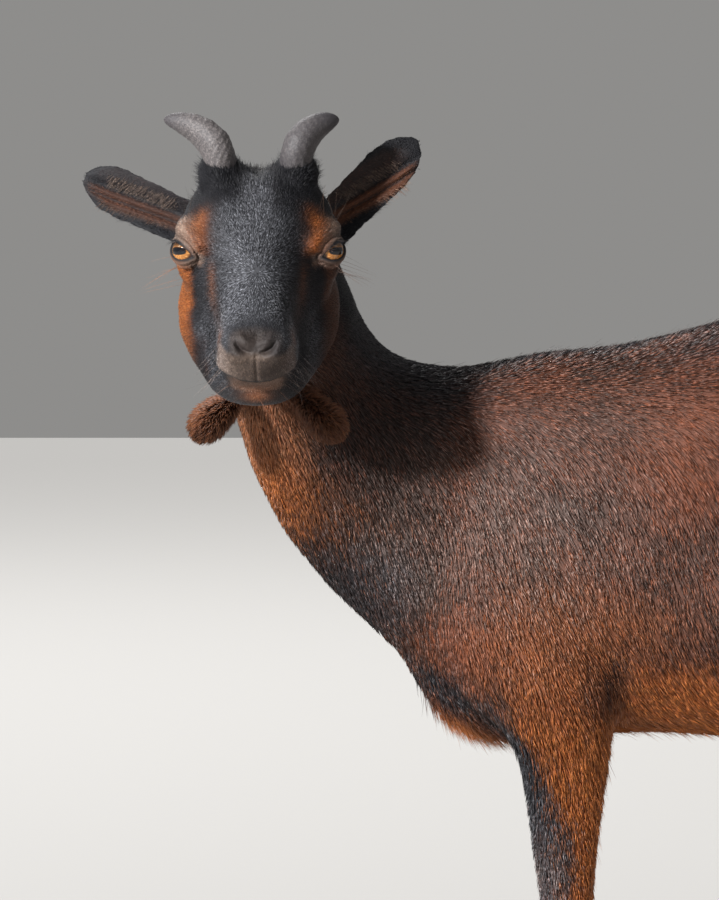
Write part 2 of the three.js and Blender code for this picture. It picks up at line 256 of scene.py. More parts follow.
# the skin: every flesh node in one closed surface
skinPlan = {
    "voxel": 2.2 * mm,
    "swell": 0.5 * mm,      # closes the thin cuts between the nodes
    "rounds": 90,           # steps that round the facets off
    "strength": 0.6,        # of each step, times the region's own
    "earRounds": 70,
    "earShrink": 0.5,
    "earGrow": -0.512,
    "keep": 0.16,           # share of faces left away from the head
    "coarseSteps": 10,      # degrees between kept and lightened
    # how far a wattle's stalk reaches into the throat
    "stalk": {"radius": 7.5 * mm, "in": 10 * mm, "behind": 44 * mm, "above": 26 * mm},
}
# depth: how far the skin lies inside the coat; soften: how strongly the facets are rounded off
regions = {
    "head": {"depth": 2.0 * mm, "soften": 0.13},
    "neck": {"depth": 5.0 * mm, "soften": 0.8},
    "trunk": {"depth": 5.0 * mm, "soften": 0.8},
    "tail": {"depth": 6.0 * mm, "soften": 0.3},
    "ear": {"depth": 0.5 * mm, "soften": 0.07},
    "wattle": {"depth": 3.9 * mm, "soften": 0.0},
    "upper": {"depth": 3.6 * mm, "soften": 0.5},
    "lower": {"depth": 2.2 * mm, "soften": 0.12},
}
regionNames = list(regions)
fleshNodes = sorted(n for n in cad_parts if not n.startswith(("eye", "horn", "hoof", "dewclaw")))


def regionOf(node):
    if node.startswith("eye"):
        return regionNames.index("head")
    return next(i for i, name in enumerate(regionNames) if node.startswith(name) or node.endswith(name))


def addStalk(part, node):
    # a wattle runs on into the throat, so that the remesh can't part them
    stalk = skinPlan["stalk"]
    middle = middleOf(node)
    side = 1 if node.endswith("left") else -1
    inner = (middleOf("wattle_left") + middleOf("wattle_right")) / 2
    inner += Vector((side * stalk["in"], stalk["behind"], stalk["above"]))
    way = inner - middle
    turn = way.to_track_quat("Z", "Y").to_matrix().to_4x4()
    place = Matrix.Translation((middle + inner) / 2) @ turn
    bmesh.ops.create_cone(
        part, cap_ends=True, cap_tris=True, segments=12, radius1=stalk["radius"], radius2=stalk["radius"],
        depth=way.length, matrix=place,
    )


def joinedCopy(nodes, swell):
    whole = bmesh.new()
    faceRegion = []
    for node in nodes:
        part = mergedCopy(node, swell)
        if node.startswith("wattle"):
            addStalk(part, node)
        faceRegion += [regionOf(node)] * len(part.faces)
        partMesh = meshOf(part, node + "Copy")
        whole.from_mesh(partMesh)
        bpy.data.meshes.remove(partMesh)
    return whole, np.array(faceRegion)


def nearestRegion(points, tree, faceRegion):
    return np.array([faceRegion[tree.find_nearest(p)[2]] for p in points.tolist()])


def shareOf(labels, names, edges, rounds):
    # 1 inside the named regions, 0 outside, with a soft edge
    return diffused(np.isin(labels, [regionNames.index(n) for n in names]).astype(float), edges, rounds)


def regionValue(labels, key, edges, rounds):
    values = np.array([regions[name][key] for name in regionNames])[labels]
    return diffused(values, edges, rounds)


def lightened(piece, keep, spared):
    # fewer faces, sparing the places where `spared` is 1
    group = piece.vertex_groups.new(name="coarse")
    steps = skinPlan["coarseSteps"]
    order = np.round((1 - np.clip(spared, 0, 1)) * steps).astype(int)
    for step in range(1, steps + 1):
        group.add(np.nonzero(order == step)[0].tolist(), step / steps, "REPLACE")
    decimate = piece.modifiers.new("lighter", "DECIMATE")
    decimate.ratio = keep
    decimate.vertex_group = "coarse"
    applied(piece)
    piece.vertex_groups.clear()


def smoothEars(mesh, labels, edges):
    # rounds off the ears' outline without thinning them: each shrinking step is undone by a growing one
    points = coordsOf(mesh)
    members = np.nonzero(shareOf(labels, ["ear"], edges, 2) > 0.5)[0]
    place = np.full(len(points), -1)
    place[members] = np.arange(len(members))
    inner = place[edges[(place[edges] >= 0).all(axis=1)]]
    ear = points[members]
    for _ in range(skinPlan["earRounds"]):
        for strength in (skinPlan["earShrink"], skinPlan["earGrow"]):
            ear = diffused(ear, inner, 1, strength)
    points[members] = ear
    placeVertices(mesh, points)


def wholeOnly(mesh):
    # drops the specks that the remesh leaves inside the cuts between the nodes
    edges, label = edgesOf(mesh), np.arange(len(mesh.vertices))
    settled = False
    while not settled:
        before = label.copy()
        low = label[edges].min(axis=1)
        np.minimum.at(label, edges[:, 0], low)
        np.minimum.at(label, edges[:, 1], low)
        label = label[label]
        settled = (label == before).all()
    specks = np.nonzero(label != np.bincount(label).argmax())[0]
    work = bmesh.new()
    work.from_mesh(mesh)
    work.verts.ensure_lookup_table()
    bmesh.ops.delete(work, geom=[work.verts[i] for i in specks.tolist()], context="VERTS")
    work.to_mesh(mesh)
    work.free()
    print("specks dropped", len(specks))


def buildSkin():
    whole, faceRegion = joinedCopy(fleshNodes + ["eye_left", "eye_right"], skinPlan["swell"])
    tree = BVHTree.FromBMesh(whole)
    skin = remeshed(linked(meshOf(whole, "skin"), "skin"), skinPlan["voxel"])
    points, edges = coordsOf(skin.data), edgesOf(skin.data)
    labels = nearestRegion(points, tree, faceRegion)
    soften = regionValue(labels, "soften", edges, 40)
    # the thin stems of the wattles keep their shape
    soften = soften * fall(shareOf(labels, ["wattle"], edges, 14), 0.02, 0.3)
    points = diffused(points, edges, skinPlan["rounds"], skinPlan["strength"] * soften)
    placeVertices(skin.data, diffused(points, edges, 2))
    smoothEars(skin.data, labels, edges)
    lightened(skin, skinPlan["keep"], shareOf(labels, ["head", "ear", "wattle"], edges, 12))
    wholeOnly(skin.data)
    points, edges = coordsOf(skin.data), edgesOf(skin.data)
    labels = nearestRegion(points, tree, faceRegion)
    # the depth changes sharply at the ears and wattles, and slowly between the head and the neck
    depth = regionValue(labels, "depth", edges, 5)
    slow = fall(shareOf(labels, ["ear", "wattle"], edges, 10), 0, 0.2)
    depth += slow * (regionValue(labels, "depth", edges, 50) - depth)
    points = points - normalsOf(skin.data) * depth[:, None]
    placeVertices(skin.data, diffused(points, edges, 2, 0.3))
    return skin, tree, faceRegion


skin, cadTree, cadRegion = buildSkin()
print("skin joined", len(skin.data.vertices), "vertices")


earFacing = {"ahead": 0.93, "up": 0.12, "out": 0.1}   # where the ears' hollows look


def earFrame(name, side):
    # the ear's root, tip and the way its hollow looks, the first two from its own solid
    verts = np.array([v.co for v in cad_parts[name].data.vertices])
    away = (verts - betweenEyes) @ headLeft * side
    tip = verts[away > np.quantile(away, 0.985)].mean(axis=0)
    root = verts[away < np.quantile(away, 0.06)].mean(axis=0)
    facing = levelAhead * earFacing["ahead"] + skyward * earFacing["up"] + headLeft * side * earFacing["out"]
    return root, tip, unit(facing)


earAxes = {1: earFrame("ear_left", 1), -1: earFrame("ear_right", -1)}
earWidths = tableOf([(0, 18), (0.2, 17), (0.45, 18.3), (0.7, 18.8), (0.88, 15.5), (1, 9)])


def earCoords(points, side):
    # share of the ear's length, and of its half width (above 0 towards the upper edge)
    root, tip, facing = earAxes[side]
    axis = unit(tip - root)
    along = (points - root) @ axis / np.linalg.norm(tip - root)
    upEdge = unit(np.cross(axis, facing))
    upEdge = upEdge if upEdge[2] > 0 else -upEdge
    return along, (points - root) @ upEdge / (earWidths(along) * mm)


def onEar(points, side):
    root, _, facing = earAxes[side]
    along, edge = earCoords(points, side)
    deep = np.abs((points - root) @ facing) / mm
    return (along > 0.12) & (along < 1.2) & (np.abs(edge) < 1.3) & (deep < 24)


# the face: lids, nostrils, mouth and folds, worked on a finer part of the skin
lidPlan = {
    "half": 11.6,      # half the opening's length, mm
    "upper": 4.5,      # height of the upper lid's arch
    "lower": 5.0,
    "thick": 1.5,      # how far a lid stands over the eyeball
    "reach": 9.0,      # width of the zone that the lid shapes
}
eyeAxes = {}
for side in (1, -1):
    gaze = headLeft * side * math.sin(pose["gazeOut"]) + levelAhead * math.cos(pose["gazeOut"])
    towardsNose = unit(levelAhead - gaze * (levelAhead @ gaze))
    along = towardsNose * math.cos(pose["lidTilt"]) - skyward * math.sin(pose["lidTilt"])
    across = towardsNose * math.sin(pose["lidTilt"]) + skyward * math.cos(pose["lidTilt"])
    eyeAxes[side] = {"gaze": gaze, "level": towardsNose, "along": along, "across": across}


def lidCoords(points, side):
    # where a point lies over the eyeball, in mm along and across the opening, and its distance out
    offset = points - eyeCentre[side]
    out = np.linalg.norm(offset, axis=1)
    axes = eyeAxes[side]
    toward = offset / out[:, None]
    turn = np.arccos(np.clip(toward @ axes["gaze"], -1, 1))
    x, y = toward @ axes["along"], toward @ axes["across"]
    flat = np.maximum(np.hypot(x, y), 1e-9)
    arc = turn * eyeRadius / mm
    return arc * x / flat, arc * y / flat, out / mm


def lidDistance(x, y):
    # mm from the lids' edge: below 0 inside the almond opening, above 0 on the lids
    shape = np.clip(1 - (x / lidPlan["half"]) ** 2, 0, None)
    arch = np.where(y > 0, lidPlan["upper"] * shape**0.75, lidPlan["lower"] * shape**0.9)
    beyond = np.maximum(np.abs(x) - lidPlan["half"], 0)
    return np.where(beyond > 0, np.hypot(beyond, y), (np.abs(y) - arch) * 0.85)


farOff = 99   # mm from the lids' edge, for points that have nothing to do with an eye


def aroundEye(points, side, reach):
    # where points lie over the eyeball, and how far from the lids' edge, up to a reach in eye radii
    x, y, out = lidCoords(points, side)
    return x, y, np.where(out * mm < eyeRadius * reach, lidDistance(x, y), farOff)


def refineSkin(skin):
    # each round splits the edges near the eyes and the muzzle, the first one those of the ears too
    for reach, muzzleFrom, withEars in ((15, 68, True), (10, 83, False)):
        points = coordsOf(skin.data)
        ahead, left, up = faceCoords(points)
        near = (ahead > muzzleFrom) & (np.abs(left) < 40) & (up > -75)
        for side in (1, -1):
            if withEars:
                near |= onEar(points, side)
            near |= np.linalg.norm(points - eyeCentre[side], axis=1) < (eyeRadius + reach * mm)
        mesh = bmesh.new()
        mesh.from_mesh(skin.data)
        mesh.verts.ensure_lookup_table()
        chosen = [e for e in mesh.edges if near[e.verts[0].index] and near[e.verts[1].index]]
        bmesh.ops.subdivide_edges(mesh, edges=chosen, cuts=1, use_grid_fill=True)
        bmesh.ops.triangulate(mesh, faces=[f for f in mesh.faces if len(f.verts) > 3])
        mesh.to_mesh(skin.data)
        mesh.free()
    skin.data.update()


aheadCounts = 0.35   # the lines are drawn on the front of the muzzle, so how far ahead a point lies counts for less


def lineDistance(ahead, left, up, path):
    # distance to a bent line, drawn alike on both sides, and how far along it, 0 to 1
    spots = np.stack([ahead * aheadCounts, np.abs(left), up], axis=1)
    path = np.array(path, dtype=float) * (aheadCounts, 1, 1)
    lengths = np.linalg.norm(np.diff(path, axis=0), axis=1)
    start = np.concatenate([[0], np.cumsum(lengths)])
    best = np.full(len(spots), np.inf)
    where = np.zeros(len(spots))
    for i, step in enumerate(np.diff(path, axis=0)):
        t = np.clip((spots - path[i]) @ step / (step @ step), 0, 1)
        d = np.linalg.norm(spots - path[i] - t[:, None] * step, axis=1)
        closer = d < best
        best[closer] = d[closer]
        where[closer] = ((start[i] + t * lengths[i]) / start[-1])[closer]
    return best, where


mouthPlan = {
    "line": [(104, 0, -41), (102, 9, -40.5), (97, 18, -38.5), (88, 26, -38), (74, 31, -42), (58, 37, -48)],
    "depth": 4.6,
    "width": 1.2,
    "lipBack": 3.0,     # the lower lip stands behind the upper one
}
nosePlan = {
    # the nostril's slit, then the crease that runs on round the wing
    "slit": [
        (104, 3.6, -15.4), (104, 6.4, -14.9), (103, 9.4, -13.0),
        (101, 12.4, -10.4), (97, 15.6, -7.6), (91, 18.4, -4.6),
    ],
    "open": 0.70,       # share of that line that is open
    "depth": 5.2,
    "crease": 0.9,
    "width": 1.5,
}
# swellings of the face, mm over the surface, and where the plain hollows lie and how deep they are
faceRelief = {"upperLip": 0.9, "wing": 1.6, "lowerWing": 0.6, "crest": 1.6, "knobs": 0.22}
faceHollows = {
    "philtrum": (1.1, {"wide": (hump, 0, 1.2), "up": (band, -39, -17, 1.5), "ahead": (ramp, 90, 98)}),
    "betweenNostrils": (1.3, {"wide": (hump, 0, 3.5), "up": (hump, -9, 5), "ahead": (ramp, 84, 94)}),
    "besideBridge": (2.6, {"wide": (hump, 31, 7), "up": (hump, -18, 12), "ahead": (band, 25, 78, 12)}),
    "forehead": (1.8, {"left": (hump, 0, 12), "ahead": (band, -30, 20, 14), "up": (ramp, 5, 20)}),
    "betweenHorns": (4.5, {"left": (hump, 0, 8), "ahead": (band, -62, -36, 8), "up": (ramp, 20, 34)}),
}


def sculptFace(skin):
    points, edges, normals = coordsOf(skin.data), edgesOf(skin.data), normalsOf(skin.data)
    ahead, left, up = faceCoords(points)
    width = np.abs(left)
    move = np.zeros_like(points)

    def push(amount, way=normals):
        move[:] += way * (amount * mm)[:, None]

    # mouth: a groove, with the lower lip set back and the chin full
    mouth, along = lineDistance(ahead, left, up, mouthPlan["line"])
    groove = hump(mouth, 0, mouthPlan["width"]) * fall(along, 0.85, 1)
    push(-groove * mouthPlan["depth"])
    mouthUp = np.interp(width, *zip(*((across, high) for _, across, high in mouthPlan["line"][:5])))
    below = ramp(mouthUp - up, 0, 2.5) * ramp(ahead, 60, 80)
    push(-below * fall(mouthUp - up, 7, 20) * mouthPlan["lipBack"], headAhead)
    push(hump(up - mouthUp, 4.5, 3.5) * ramp(ahead, 70, 90) * faceRelief["upperLip"])

    # nostrils: slits with a raised wing over them
    slit, along = lineDistance(ahead, left, up, nosePlan["slit"])
    opened = nosePlan["open"]
    closing = ramp(along, opened - 0.15, opened + 0.1)
    gape = nosePlan["width"] * (0.7 + 0.5 * np.sin(np.pi * np.clip(along / opened, 0, 1))) * (1 - 0.3 * closing)
    sunk = nosePlan["depth"] * (1 - closing) + nosePlan["crease"] * closing * fall(along, 0.85, 1)
    push(-np.exp(-((slit / gape) ** 2)) * sunk, normals * 0.6 + headAhead * 0.4)
    wing = hump(slit, 4.6, 2.2) * ramp(up, -14, -9) * ramp(ahead, 84, 94) * (1 - closing)
    push(wing * faceRelief["wing"])
    lowerWing = hump(slit, 3.8, 1.8) * fall(up, -18, -13) * ramp(width, 4, 7)
    push(lowerWing * ramp(ahead, 90, 98) * faceRelief["lowerWing"])

    crest = hump(up, -31 - (ahead - 20) * 0.12, 5) * ramp(width, 26, 34) * band(ahead, -5, 62, 10)
    push(crest * faceRelief["crest"])
    at = placesOf(points)
    for depth, where in faceHollows.values():
        push(-patch(at, where) * depth)
    points = points + move
    points = points + 0.35 * (neighbourMean(points, edges) - points) * ramp(ahead, 50, 70)[:, None]

    # the pad's fine bumps
    pad = band(up, -24, -4, 3) * ramp(ahead, 86, 94) * fall(width, 16, 24)
    pad *= ramp(slit, 1.5, 3.5)
    on = pad > 0.1
    knobs = np.array([noise.noise(Vector(p) * 900) for p in points[on].tolist()])
    points[on] += normals[on] * (knobs * pad[on] * faceRelief["knobs"] * mm)[:, None]

    for side in (1, -1):
        points = sculptEye(points, side)
    placeVertices(skin.data, points)
    smoothed(skin.data)


def sculptEye(points, side):
    radius = eyeRadius / mm
    x, y, out = lidCoords(points, side)
    edge = lidDistance(x, y)
    near = (np.linalg.norm(points - eyeCentre[side], axis=1) < eyeRadius + 14 * mm) & (out > radius * 0.45)
    facing = ((points - eyeCentre[side]) @ eyeAxes[side]["gaze"]) > -0.2 * eyeRadius
    zone = near & facing
    # the lid hugs the ball at its edge and runs out into the brow and the cheek
    lidOut = radius + lidPlan["thick"] - 0.06 * np.clip(edge - 3, 0, None) ** 1.5
    around = np.where(out > lidOut, lidOut + (out - lidOut) * ramp(edge, 1.5, lidPlan["reach"]), lidOut)
    fresh = np.where(edge > 0, around, radius * 0.86)
    # folds over the upper lid and under the lower one
    fold = hump(edge, 4.2, 0.8) * ramp(y, -2, 2) * 1.3 + hump(edge, 4.6, 0.9) * fall(y, -4, 0) * 0.8
    ridge = hump(edge, 6.6, 1.6) * ramp(y, 0, 4) * 1.3 + hump(edge, 2.2, 1.0) * 0.5
    fresh = np.where(edge > 0, fresh - fold + ridge, fresh)
    moved = points.copy()
    toward = unit(points - eyeCentre[side])
    moved[zone] = eyeCentre[side] + toward[zone] * (fresh[zone] * mm)[:, None]
    return moved


# lines on the shoulder: how far behind the forelegs at three heights, half width, heights and softness, relief
shoulderHeights = [250, 330, 440]
shoulderLines = {
    "bladeEdge": ([47, 38, 20], 9, (262, 420, 26), -3.2),
    "muscle": ([10, 6, -6], 34, (240, 430, 40), 2.2),
    "neckFoot": ([-92, -84, -62], 13, (268, 420, 30), -2.4),
}
bodyRelief = {"elbowCrease": -4.0, "ribs": 0.5}


def sculptBody(skin):
    # the shoulder, the neck's foot, the elbow's fold and the ribs, on both sides
    points, normals = coordsOf(skin.data), normalsOf(skin.data)
    back, right, high = bodyCoords(points)
    flank = ramp(np.abs(right), 24, 50)
    move = 0
    for places, width, span, relief in shoulderLines.values():
        move = move + relief * (hump(back - np.interp(high, shoulderHeights, places), 0, width) * band(high, *span))
    crease = hump(back - 0.12 * (high - 230), 37, 6) * band(high, 205, 262, 14)
    ribs = np.sin((back - 0.35 * (high - 300)) / 5.2) * band(back, 80, 250, 30) * band(high, 262, 400, 34)
    move = move + bodyRelief["elbowCrease"] * crease + bodyRelief["ribs"] * ribs
    placeVertices(skin.data, points + normals * (move * flank * mm)[:, None])


# ridges and furrows in an ear's hollow: place across it, half width, relief in mm
earLines = [(-0.27, 0.09, 1.2), (-0.62, 0.09, 1.1), (0.3, 0.2, 0.8), (-0.02, 0.13, -1.5), (-0.44, 0.07, -1.0)]


def sculptEars(skin):
    # long ridges and furrows in the hollow
    points, normals = coordsOf(skin.data), normalsOf(skin.data)
    for side in (1, -1):
        along, edge = earCoords(points, side)
        inner = ramp(normals @ earAxes[side][2], 0.1, 0.5) * onEar(points, side)
        zone = inner * band(along, 0.16, 0.9, 0.1) * fall(np.abs(edge), 0.72, 0.95)
        bend = edge + 0.18 * (along - 0.5) ** 2
        relief = sum(hump(bend, *line) * high for *line, high in earLines)
        points = points + earAxes[side][2] * (zone * relief * mm)[:, None]
    placeVertices(skin.data, points)


refineSkin(skin)
sculptBody(skin)
sculptEars(skin)
sculptFace(skin)
print("skin shaped", len(skin.data.vertices), "vertices", len(skin.data.polygons), "faces")
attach(skin, "root")
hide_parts(*fleshNodes)


# lines on the body, mm behind the forelegs at each height: the throat's and the nape's edge, then each pair of legs'
# middle, and how far behind it the black band ends
throatLine = tableOf([(300, -168), (335, -208), (362, -217), (404, -230), (450, -236)])
napeLine = tableOf([(420, -78), (440, -100), (470, -138), (500, -163), (560, -192), (600, -200)])
foreAxis = tableOf([(0, -12), (36, -6), (66, 1), (190, 0), (226, -6), (260, -20)])
hindAxis = tableOf([(0, 329), (40, 338), (86, 352), (152, 361), (212, 342), (246, 324), (285, 311)])
foreBand = tableOf([(0, 4), (60, 3), (90, -2), (110, 4), (150, -4), (180, -18), (215, -36)])
hindBand = tableOf([(0, 5), (80, 0), (130, -2), (170, -8), (220, -26)])
# patches of silvery hair with painted sheen on the body: strength, then centre and half width behind the forelegs
# and up
frostSheenPatches = [
    (1.0, (-24, 78), (350, 74)),
    (0.45, (112, 60), (310, 42)),
    (1.0, (-112, 27), (322, 42)),
    (0.4, (30, 60), (420, 40)),
]


# where the coat's colours lie: each function gives shares of black, orange, silvery hair with painted sheen, and
# pale at any point
def trunkMarks(points, share, ragged, broad):
    # dark with a black line down the back, orange throat, brisket and belly
    ahead, _, up, _, back, aside, high = placesOf(points).values()
    spine = np.clip(1 - aside / 30, 0, 1) * ramp(high, 380, 430)
    # the nape's black crest, widened to take in painted shade
    crest = ramp(back - napeLine(high) + ragged, -44, -4) * ramp(high, 400, 440)
    # painted shade: the head's shadow, laid as black over the neck behind it
    headShadowOnNeck = ramp(ahead + 1.5 * ragged, -112, -58) * ramp(ahead, -20, -44) * ramp(up, -128, -92)
    brisket = np.hypot((back + 91) / 28, (high - 234 + 0.5 * (back + 91)) / 10)
    elbow = np.hypot((back - 24) / 11, (high - 232) / 13)
    # dark streaks run down the barrel
    streaks = ramp(ripple(points * np.array([1.0, 1.0, 0.3]), 75, 6), 0.15, 0.7) * ramp(back, 30, 90)
    black = most(
        0.95 * ramp(spine + 0.02 * ragged, 0.3, 0.75),
        0.93 * (crest * ramp(back, -40, -85)),
        # painted shade: black on the neck just behind the jaw, where the head's shadow falls
        0.6 * (share["neck"] * ramp(back + ragged, -192, -166) * ramp(high, 370, 412)),
        0.9 * headShadowOnNeck * (1 - share["legs"]),
        fall(brisket + 0.05 * ragged, 0.75, 1.25),
        0.85 * (band(high, 262, 330, 22) * ramp(back, -92, -128)),
        fall(elbow, 0.6, 1.35),
        # painted shade in the elbow's crease
        0.95 * (hump(back - 0.12 * (high - 230), 36, 7) * band(high, 215, 262, 10)),
        0.85 * hump(high + ragged, 258, 9) * span(back, 84, 120, 250, 320),
        0.68 * streaks * ramp(high, 255, 285),
    )
    throat = fall(back - throatLine(high) + 2 * ragged + 9 * broad, 12, 62) * band(high, 345, 450, 26)
    shoulder = np.hypot(back / 66, (high - 262) / 44)
    belly = fall(high - 0.14 * np.clip(back - 60, 0, 90) + ragged, 238, 252)
    rump = ramp(back, 352, 376) * fall(high, 470, 500) * fall(aside, 30, 52)
    orange = most(
        throat * (back < -120),
        0.3 * hump(back, -112, 16) * hump(high, 252, 16),
        band(back, -88, -28, 7) * fall(high + 0.5 * (back + 83) + 0.6 * ragged, 212, 218),
        0.66 * fall(shoulder + 0.05 * ragged + 0.15 * broad, 0.45, 1.35),
        belly * ramp(back, 18, 34),
        0.9 * rump,
    )
    silver = most(
        *(strength * hump(back, *along) * hump(high, *tall) for strength, along, tall in frostSheenPatches),
        0.25 * ramp(high, 430, 470),
        0.3 * ramp(back, 130, 200),
    )
    # painted light: the upper throat is paler, brightening it under the head's shadow
    pale = 0.42 * throat * ramp(high, 376, 404)
    return {"black": black, "orange": orange, "silver": silver, "pale": pale}


def trunkRed(points, head, broad):
    # how chestnut the dark coat is
    back, _, high = bodyCoords(points)
    red = np.clip(0.42 + 0.2 * broad + 0.3 * hump(back, 105, 60) * hump(high, 400, 90), 0, 1)
    red = red * (1 - 0.6 * ramp(back, -60, -110) * ramp(high, 255, 290))
    red = np.clip(red + 0.5 * hump(back, -62, 34) * hump(high, 262, 24), 0, 1)
    return red * (1 - head * 0.5)


def laidOver(marks, share, **fresh):
    for name, value in fresh.items():
        marks[name] = blend(marks[name], value, share)


def legMarks(points, share, ragged, marks):
    # a black band down the front, orange behind, greyer below the knee
    back, _, high = bodyCoords(points)
    legs, far = share["legs"], share["far"]
    fore = back < pose["betweenLegs"]
    axis = np.where(fore, foreAxis(high) + 10 * far, hindAxis(high) - 20 * far)
    front = np.where(fore, foreBand(high), hindBand(high))
    blackFront = most(fall(back - axis - front + 0.6 * ragged, -1, 4), ramp(high, 46, 34))
    greyPatch = hump(high, 108, 13) * ramp(back - axis, 3, -1) * fore
    laidOver(
        marks,
        legs * fall(high, 205, 245),
        black=np.clip(blackFront - 0.75 * greyPatch, 0, 1),
        orange=np.clip(1 - blackFront, 0, 1) * 0.95,
        silver=np.clip(0.27 * blackFront + greyPatch, 0, 1),
    )
    thigh = legs * (1 - fore) * ramp(high, 205, 245)
    thigh = thigh * 0.8 * ramp(back - 330, 20, 60) * fall(high, 300, 340)
    marks["orange"] = most(marks["orange"], thigh)
    # the tail: black above, orange below
    behind = ramp(back - 402 + 0.2 * (high - 500), -4, 8)
    laidOver(marks, share["tail"], black=1 - behind, orange=behind * 0.9)


facePatches = {
    "brow": {"wide": (hump, 39, 8.5), "ahead": (band, -12, 24, 7), "up": (ramp, 2, 9)},
    "stripe": {"wide": (hump, 37, 7.5), "ahead": (band, 14, 70, 6), "up": (ramp, 4, -8)},
    "chin": {"wide": (hump, 0, 12), "up": (hump, -60, 7), "ahead": (ramp, 66, 78)},
    "underLip": {"up": (band, -55, -41, 2), "wide": (fall, 14, 22), "ahead": (ramp, 76, 86)},
    "lip": {"up": (band, -39, -17, 2.5), "ahead": (ramp, 80, 90), "wide": (fall, 25, 30)},
    "nose": {"up": (band, -20, -1, 3), "ahead": (ramp, 84, 92), "wide": (fall, 15, 20)},
    "paleBrow": {"wide": (hump, 52, 7), "up": (hump, 17, 6), "ahead": (band, -12, 16, 5)},
    "frostSheen": {"ahead": (span, -40, -18, 70, 92)},
    "frostSheenStripe": {"wide": (hump, 37, 6), "ahead": (band, 30, 60, 12)},
    "frostSheenMuzzle": {"wide": (hump, 24, 9), "ahead": (band, 62, 98, 8), "up": (band, -38, -4, 8)},
    "poll": {"ahead": (ramp, -44, -54), "up": (ramp, 10, 24)},
    "under": {"up": (ramp, -62, -74), "ahead": (band, -34, 22, 12), "back": (ramp, -170, -196)},
}
# how much of the black each of them takes away, and how strong it is in its own colour
blackTaken = {"chin": 0.9, "underLip": 0.7, "paleBrow": 0.8, "lip": 0.24, "nose": 0.08}
paleGiven = {"paleBrow": 0.9, "chin": 0.2, "underLip": 0.5}


def faceMarks(points, share, ragged, marks):
    # black mask with a silver frost that is partly painted sheen, orange brows, lines and cheeks, pale muzzle and
    # brows
    at = placesOf(points)
    ahead, left, up, wide = (at[key] for key in ("ahead", "left", "up", "wide"))
    on = {name: patch(at, plan) for name, plan in facePatches.items()}
    head, onLeft = share["head"], left > 0
    cheek = most(
        ramp(wide + ragged * 0.5 + 0.06 * (ahead - 20), 39, 45) * ramp(up + 0.2 * ragged, 2, -8),
        ramp(wide + ragged * 0.5, 30, 37) * ramp(up - 0.35 * (ahead - 30), -40, -52),
    )
    # painted shade: the cheeks' orange is weaker on the goat's left side
    cheek *= span(ahead, -44, -14, 64, 78) * (1 - 0.58 * ramp(left, 0, 20))
    # painted light: the orange brows are stronger on the shaded left side and a little weaker on the lit right
    brow = 0.62 * on["brow"] * (1 + np.where(onLeft, 0.22, -0.06))
    line = hump(wide + 0.10 * (ahead - 45), 29, 3.2) * band(ahead, 22, 84, 7) * ramp(up, -30, -12)
    orange = np.clip(most(0.92 * cheek, 1.1 * brow + 0.08 * ragged * brow), 0, 1)
    # painted light: the orange lines are stronger on the goat's right, the lit side
    orange = most(orange, (0.62 + 0.18 * (left < 0)) * line) * (1 - 0.92 * np.clip(on["stripe"], 0, 1))
    orange *= 1 - ramp(up + 0.12 * (88 - ahead), -58, -64) * ramp(ahead, 20, 40)
    # painted sheen: the frost is centred a little to the goat's right, the lit side, and reaches further there
    shine = np.where(left > -3, hump(left, -3, 19), hump(left, -3, 25))
    silver = most(shine * on["frostSheen"], 0.6 * on["frostSheenStripe"], 0.7 * on["frostSheenMuzzle"])
    silver *= 1 - np.clip(brow + cheek, 0, 1)
    cap = ramp(ahead - 6 * onLeft + 0.25 * ragged, -2, -14) * ramp(up, 10, 22) * ramp(wide, 7, 14)
    cap = most(cap, on["poll"])
    # painted shade: the pale brows are weaker on the goat's left
    on["paleBrow"] *= 1 - 0.35 * onLeft
    taken = sum(amount * on[name] for name, amount in blackTaken.items()) + 0.35 * cap * hump(left, 0, 7)
    black = np.clip(1 - orange - taken, 0, 1) * (1 - 0.85 * on["under"])
    orange = most(orange, 0.7 * on["under"]) + 0.85 * on["chin"] + 0.25 * on["underLip"]
    laidOver(marks, head, black=black, orange=np.clip(orange, 0, 1), silver=np.clip(silver * (1 - cap), 0, 1))
    muzzle = 0.75 * on["lip"] * (0.5 + 0.5 * hump(wide, 25, 10)) + 0.14 * on["nose"]
    # painted shade: the pale lip and nose are darker towards the goat's left
    pale = sum(amount * on[name] for name, amount in paleGiven.items()) + muzzle * (1 - 0.5 * ramp(left, -2, 14))
    marks["pale"] = most(head * np.clip(pale, 0, 1), marks["pale"] * (1 - head) * (1 - share["wattle"]))


def openingMarks(points, head, marks):
    # painted shade in the nostrils and along the mouth line, black lid rims, and a paler ring round each eye
    at = faceCoords(points)
    slit, slitAlong = lineDistance(*at, nosePlan["slit"])
    mouth, _ = lineDistance(*at, mouthPlan["line"])
    # painted shade deep in the nostrils, mostly at their inner ends where the wing overhangs
    nostrilShade = fall(slit, 0.9, 2.0) * (1 - 0.85 * ramp(slitAlong, 0.58, 0.84))
    inside = most(nostrilShade, fall(mouth, 1.6, 3.0)) * ramp(at[0], 50, 60)
    for side in (1, -1):
        x, y, edge = aroundEye(points, side, 1.5)
        thick = 0.1 + 1.1 * ramp(y, -1, 3) * ramp(x, 8, 0)
        inside = most(inside, fall(edge, thick, thick + 0.8))
        ring = band(edge, 1.2, 7.5, 1.4) * head
        # painted shade: the pale ring is weaker round the left eye
        marks["pale"] = most(marks["pale"], (0.44 - 0.16 * (side > 0)) * ring)
        marks["orange"] = most(marks["orange"], 0.25 * ring * ramp(y, 1, -3))
        marks["silver"] = most(marks["silver"], 0.28 * ring)
        marks["black"] = marks["black"] * (1 - 0.6 * ring)
    marks["black"] = most(marks["black"], head * inside)
    for name in ("orange", "silver", "pale"):
        marks[name] = marks[name] * (1 - head * inside)


